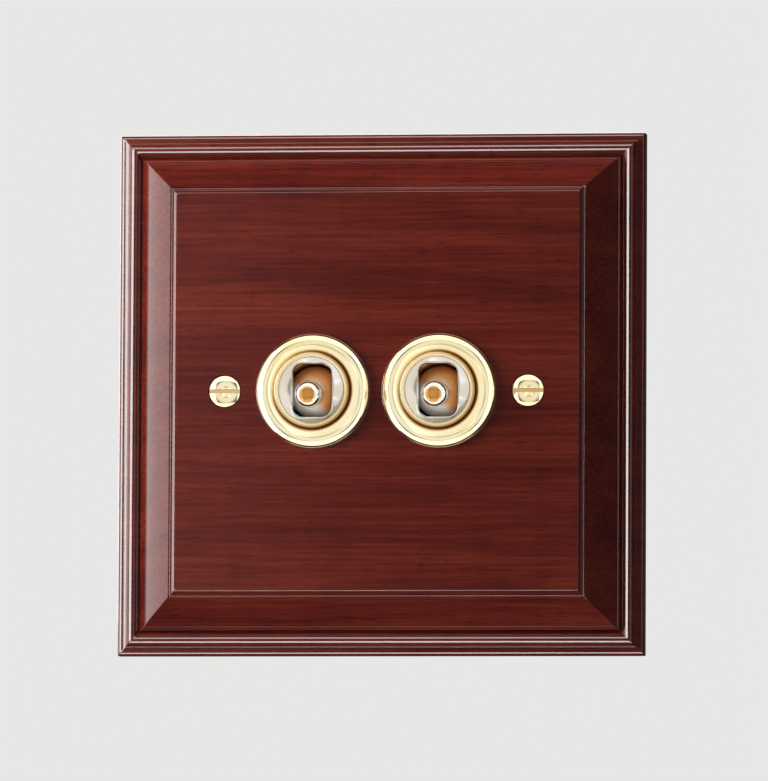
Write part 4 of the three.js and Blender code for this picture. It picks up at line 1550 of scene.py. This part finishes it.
@dataclass
class SwitchCase:
    """The phenolic case of one gang: a cover round the bush, and a base that holds the terminals."""

    side: str
    corner: float = 1.4
    edge: float = 0.4
    mouth_edge: float = 0.3
    barrel_hole: float = 7.7
    flange_hole: float = 9.4
    cover_wall: float = 1.4
    rivet_hole: float = 1.4
    rivet_sink: float = 2.2
    sink_depth: float = 0.8
    rivet_head: Triple = (2.0, 0.6, 0.12)
    rivet_shank: float = 1.2
    well: float = 2.6
    wire_hole: float = 2.0
    panel: float = 4.8
    panel_depth: float = 0.5
    panel_corner: float = 1.2
    seat_gap: float = 0.2
    overlap: float = 0.1
    chamber: Point = (4.6, 16.95)

    def build(self) -> None:
        """Makes the case, its rivets and its terminals."""
        self.rivets = [f"case_rivet_{number}_{self.side}" for number in (1, 2)]
        self.ends = {f"terminal_{end}_{self.side}": wire for end, wire in (
            ("upper", Vector((0.0, 0.0, -1.0))), ("common", Vector((1.0, 0.0, 0.0))),
            ("lower", Vector((0.0, 0.0, 1.0))))}
        self._cover()
        self._base()
        self._rivets()
        self._terminals()

    def _shell(self, node: str) -> tuple[bpy.types.Object, Vector, Vector]:
        """One half of the case before it is bored, with its lowest and highest corners."""
        low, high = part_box(node)
        shell = block(f"moulded_{node}", low, high, PHENOLIC, self.corner * MM)
        return ease_edges(shell, self.edge * MM), low, high

    def _rivet_holes(self, face: float, into: Vector) -> list[bpy.types.Object]:
        """The cutters for the two rivets, each with a sink for its head in the face at a depth."""
        tools = []
        for node in self.rivets:
            place = middle(node, face)
            tools.append(drill(place, into, self.rivet_hole, THROUGH / MM))
            tools.append(drill(place, into, self.rivet_sink, self.sink_depth, self.mouth_edge / 2))
        return tools

    def _cover(self) -> None:
        """Makes the front half, bored for the bush and its flange."""
        node = f"case_cover_{self.side}"
        shell, low, high = self._shell(node)
        deep = (high.y - low.y) / MM
        tools = [drill(middle(node, low.y), -FORWARDS, self.barrel_hole, deep + PAST, self.mouth_edge),
                 drill(middle(node, high.y), FORWARDS, self.flange_hole, deep - self.cover_wall,
                       self.mouth_edge)]
        tools += self._rivet_holes(low.y, -FORWARDS)
        hand_over(carve(shell, tools), PHENOLIC, [node])

    def _base(self) -> None:
        """Makes the rear half: a chamber for the contacts, a seat for each terminal, and its holes."""
        shell, low, high = self._shell(f"case_base_{self.side}")
        centre = (low + high) / 2
        _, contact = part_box(f"contact_upper_{self.side}")
        half = Vector((self.chamber[0], 0.0, self.chamber[1])) * MM
        inner = centre - half
        outer = centre + half
        inner.y, outer.y = low.y - MM, contact.y
        tools = [block("chamber", inner, outer, PHENOLIC)]
        for node, wire in self.ends.items():
            tools += self._terminal_holes(node, wire, low, high, contact.y)
        tools += self._rivet_holes(high.y, FORWARDS)
        hand_over(carve(shell, tools), PHENOLIC, [f"case_base_{self.side}"])

    def _terminal_holes(self, node: str, wire: Vector, low: Vector, high: Vector,
                        seat_front: float) -> list[bpy.types.Object]:
        """The cutters for one terminal.

        Args:
            node: The terminal's CAD node.
            wire: The direction that its wire comes in.
            low: The base's lowest corner.
            high: The base's highest corner.
            seat_front: The depth where the terminal's seat opens into the chamber.

        Returns:
            The cutters for its sunk panel, its screw's well, its seat and its wire's hole or holes.
        """
        near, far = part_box(node)
        gap = Vector((self.seat_gap, 0.0, self.seat_gap)) * MM
        near, far = near - gap, far + gap
        wire_depth = near.y + (TerminalBlock.wall + TerminalBlock.tunnel) * MM
        near.y = seat_front - self.overlap * MM
        mouth = middle(node, high.y - self.panel_depth * MM)
        reach = Vector((self.panel, 0.0, self.panel)) * MM
        sunk = block("panel", mouth - reach, mouth + reach + Vector((0.0, MM, 0.0)), PHENOLIC,
                     self.panel_corner * MM)
        well = drill(mouth, FORWARDS, self.well, (mouth.y - far.y) / MM, self.mouth_edge)
        far.y += self.overlap / 2 * MM
        tools = [sunk, well, block("seat", near, far, PHENOLIC)]
        centre, half = (low + high) / 2, (high - low) / 2
        ways = [wire, -wire] if wire.x else [wire]
        for way in ways:
            start = Vector((centre.x - way.x * half.x, wire_depth, centre.z - way.z * half.z))
            room = abs(way.x) * (half.x - (far.x - near.x) / 2)
            room += abs(way.z) * (half.z - abs(middle(node).z) - (far.z - near.z) / 2)
            tools.append(drill(start, way, self.wire_hole, room / MM + PAST / 2, self.mouth_edge))
        return tools

    def _rivets(self) -> None:
        """Makes the two rivets that hold the halves together."""
        low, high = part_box(self.rivets[0])
        front, back = (low.y / MM, high.y / MM)
        head, height, brim = self.rivet_head
        path = Outline(0.0, front).swell((0.0, front), (head, front + height - brim), 8)
        path.to(head, front + height).to(self.rivet_shank, front + height)
        path.to(self.rivet_shank, back - height).to(head, back - height)
        path.swell((0.0, back), (head, back - height + brim), 8, upwards=True)
        places = [middle(node, 0.0) for node in self.rivets]
        pattern = turned("rivet_pattern", path, TURNED_BRASS, facets=10)
        rivets = copies(f"brass_case_rivets_{self.side}", pattern, places, TURNED_BRASS)
        hand_over(rivets, TURNED_BRASS, self.rivets)

    def _terminals(self) -> None:
        """Makes the three terminal blocks and their screws."""
        for node, wire in self.ends.items():
            low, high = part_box(node)
            hand_over(TerminalBlock().pattern(f"brass_{node}", low, high, wire), TURNED_BRASS, [node])
        screws = [node.replace("terminal_", "terminal_screw_") for node in self.ends]
        name = f"brass_terminal_screws_{self.side}"
        hand_over(terminal_screws(name, screws), TURNED_BRASS, screws)


# ------------------------------------------------------------------ studio


@dataclass(frozen=True)
class Card:
    """A soft rectangular light: where it stands, how big and bright it is, and what it works on."""

    name: str
    place: Triple
    size: Point
    radiance: float
    colour: Colour = (1.0, 1.0, 1.0)
    diffuse: bool = True
    glossy: bool = True
    only: Finish | None = None

    def build(self) -> None:
        """Stands the light up, facing the object."""
        lamp = bpy.data.lights.new(self.name, "AREA")
        lamp.shape = "RECTANGLE"
        lamp.size, lamp.size_y = self.size
        area = self.size[0] * self.size[1]
        lamp.energy, lamp.color = self.radiance * WATTS_PER_RADIANCE * area, self.colour
        made = bpy.data.objects.new(self.name, lamp)
        made.location = self.place
        made.rotation_euler = (-Vector(self.place)).to_track_quat("-Z", "Y").to_euler()
        made.visible_camera = False
        made.visible_diffuse, made.visible_glossy = self.diffuse, self.glossy
        bpy.context.scene.collection.objects.link(made)
        if self.only is not None:
            shine_on(made, [piece for piece in bpy.data.objects if piece.type == "MESH"
                            and self.only.material().name in piece.data.materials])


def shine_on(lamp: bpy.types.Object, pieces: list[bpy.types.Object]) -> None:
    """Lets a light fall on some pieces only."""
    receivers = bpy.data.collections.new(f"{lamp.name}_receivers")
    for piece in pieces:
        receivers.objects.link(piece)
    lamp.light_linking.receiver_collection = receivers


WATTS_PER_RADIANCE = 4.0
WINDOW = (0.94, 1.00, 0.98)
CARDS = (
    Card("key", (-0.27, -0.17, 0.04), (0.18, 0.18), 10.5, (1.0, 0.93, 0.88), glossy=False),
    Card("front_fill", (-0.20, -1.30, 0.60), (0.80, 0.80), 0.3, glossy=False),
    Card("wood_above", (0.0, -0.05, 0.55), (0.60, 0.20), 5.2, glossy=False, only=MAHOGANY),
    Card("wood_below", (0.0, -0.05, -0.55), (0.60, 0.20), 4.2, glossy=False, only=MAHOGANY),
    Card("bead_above", (0.0, -0.82, 0.57), (0.90, 0.45), 5.0, WINDOW, False, only=MAHOGANY),
    Card("bead_below", (0.0, -0.82, -0.57), (0.90, 0.45), 9.0, WINDOW, False, only=MAHOGANY),
    Card("back_fill", (-0.45, 1.10, 0.45), (0.90, 0.90), 6.0),
    Card("left_window", (-0.60, 0.13, 0.02), (1.15, 1.20), 2.2, WINDOW, False, only=MAHOGANY),
    Card("left_near", (-0.45, -0.72, 0.07), (0.60, 0.26), 12.0, WINDOW, False, only=MAHOGANY),
    Card("brass_soft", (0.05, -0.60, -0.30), (0.40, 0.40), 3.5, glossy=False, only=BRASS),
    Card("brass_front", (0.0, -1.50, 0.0), (1.00, 1.00), 0.72, (1.0, 1.0, 0.96), False, only=BRASS),
    Card("brass_left", (-0.60, -0.15, 0.0), (0.70, 1.25), 1.35, (0.86, 0.94, 1.0), False, only=BRASS),
    Card("brass_right", (0.60, -0.15, 0.0), (0.70, 1.25), 1.20, (0.86, 0.94, 1.0), False, only=BRASS),
    Card("brass_above", (0.0, -0.15, 0.60), (1.25, 0.70), 1.20, (1.0, 0.98, 0.92), False, only=BRASS),
    Card("brass_below", (0.0, -0.15, -0.60), (1.25, 0.70), 1.15, (0.98, 1.0, 0.90), False, only=BRASS),
)


@dataclass
class Studio:
    """A plain pale floor, soft lights and the camera."""

    azimuth: float = 6.6
    elevation: float = -4.5
    roll: float = 0.29
    distance: float = 2.0
    lens: float = 466.9
    sensor: float = 36.0
    aim: Point = (1.575 * MM, 0.06 * MM)
    floor_height: float = -1.3
    floor_half: float = 6.0
    floor_light: Point = (3.0, 0.6)  # its strength, and its angle in radians
    pale: Colour = (0.80, 0.80, 0.79)
    dim: float = 0.06
    ahead: float = 0.05
    ahead_reach: Point = (10.0, 60.0)
    ring: float = 0.9
    ring_inside: Point = (16.0, 26.0)
    ring_outside: Point = (40.0, 52.0)
    veil: float = 0.32
    veil_edge: Point = (-0.108, -0.150)
    veil_reach: Point = (14.0, 20.0)
    shaded: float = 0.6

    def build(self) -> None:
        """Makes the sky, the lights and the camera."""
        self._sky()
        for card in CARDS:
            card.build()
        self._floor()
        self._camera()
        bpy.context.scene.view_settings.view_transform = "Standard"

    def _floor(self) -> None:
        """A wide pale floor under the object, with a light of its own."""
        mesh = bpy.data.meshes.new("pale_floor")
        ways = [(-1, -1), (1, -1), (1, 1), (-1, 1)]
        corners = [(x * self.floor_half, y * self.floor_half, self.floor_height) for x, y in ways]
        mesh.from_pydata(corners, [], [(0, 1, 2, 3)])
        floor = new_object("pale_floor", mesh)
        paint = bpy.data.materials.new("pale_floor")
        paint.use_nodes = True
        shader = paint.node_tree.nodes["Principled BSDF"]
        Bench(paint.node_tree).feed(shader, {"Base Color": (*self.pale, 1.0), "Roughness": 0.9})
        mesh.materials.append(paint)
        floor.visible_glossy = floor.visible_diffuse = False
        lamp = bpy.data.objects.new("floor_light", bpy.data.lights.new("floor_light", "SUN"))
        lamp.data.energy, lamp.data.angle = self.floor_light
        bpy.context.scene.collection.objects.link(lamp)
        shine_on(lamp, [floor])

    def _sky(self) -> None:
        """Dim surroundings with a soft ring and a veil on the left, and plain and pale as a backdrop."""
        world = bpy.data.worlds.new("studio")
        bpy.context.scene.world = world
        world.use_nodes = True
        bench = Bench(world.node_tree)
        direction = bench.add("ShaderNodeTexCoord", output="Generated")
        ahead = bench.vector_maths("DOT_PRODUCT", direction, FORWARDS, 1)

        def cone(inner: float, outer: float) -> Wire:
            """Full within one angle of straight ahead, and gone outside the other."""
            return ahead.rise(math.cos(math.radians(outer)), math.cos(math.radians(inner)))

        sideways, _, _ = bench.parts(direction)
        ring = cone(*self.ring_outside) - cone(*self.ring_inside)
        light = self.dim + self.ahead * cone(*self.ahead_reach) + self.ring * ring
        light = light + self.veil * sideways.rise(*self.veil_edge) * cone(*self.veil_reach)
        ray = bench.node("ShaderNodeLightPath")
        seen = bench.wire(ray, "Is Camera Ray")
        light = light * (1.0 - bench.wire(ray, "Is Diffuse Ray") * self.shaded)
        glow = bench.mixed(seen, bench.mixed(1.0, (1.0, 0.985, 0.96), light, "MULTIPLY"), self.pale)
        bench.feed(world.node_tree.nodes["Background"], {"Color": glow, "Strength": 1.0})

    def _camera(self) -> None:
        """Looks at the plate from a little to the right and below."""
        turn, lift = math.radians(self.azimuth), math.radians(self.elevation)
        back = Vector((math.sin(turn) * math.cos(lift), -math.cos(turn) * math.cos(lift), math.sin(lift)))
        aim = middle("wood_plate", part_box("wood_plate")[0].y) + Vector((self.aim[0], 0.0, self.aim[1]))
        data = bpy.data.cameras.new("camera")
        data.lens, data.sensor_width = self.lens, self.sensor
        camera = bpy.data.objects.new("camera", data)
        camera.location = aim + back * self.distance
        facing = (-back).to_track_quat("-Z", "Y").to_matrix().to_4x4()
        camera.rotation_euler = (facing @ Matrix.Rotation(math.radians(self.roll), 4, "Z")).to_euler()
        bpy.context.scene.collection.objects.link(camera)
        bpy.context.scene.camera = camera


# ------------------------------------------------------------------ assembly

NODE_FINISHES: dict[str, Finish] = {
    "mahogany": MAHOGANY, "polished_brass": BRASS, "terminal_brass": TURNED_BRASS, "copper": COPPER,
    "silver": SILVER, "zinc_steel": ZINC, "spring_steel": SPRING_STEEL, "phenolic": PHENOLIC,
}


def main() -> None:
    """Loads the frame, builds every piece round it, and dresses the nodes that stay."""
    logging.basicConfig(level=logging.INFO, format="%(name)s: %(message)s")
    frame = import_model()
    slots = {part["node"]: part["material_slot"] for part in frame["record"]["subparts"]}
    MouldedPlate().build()
    for side in SIDES:
        FixingScrew(side).build()
        Rose(side).build()
        Bush(side).build()
        Dolly(side).build()
        SwitchCase(side).build()
    RearMounting().build()
    for name, node in frame["nodes"].items():
        if not node.hide_render:
            dress_node(node, NODE_FINISHES[slots[name]])
    Studio().build()


if __name__ == "__main__":
    main()
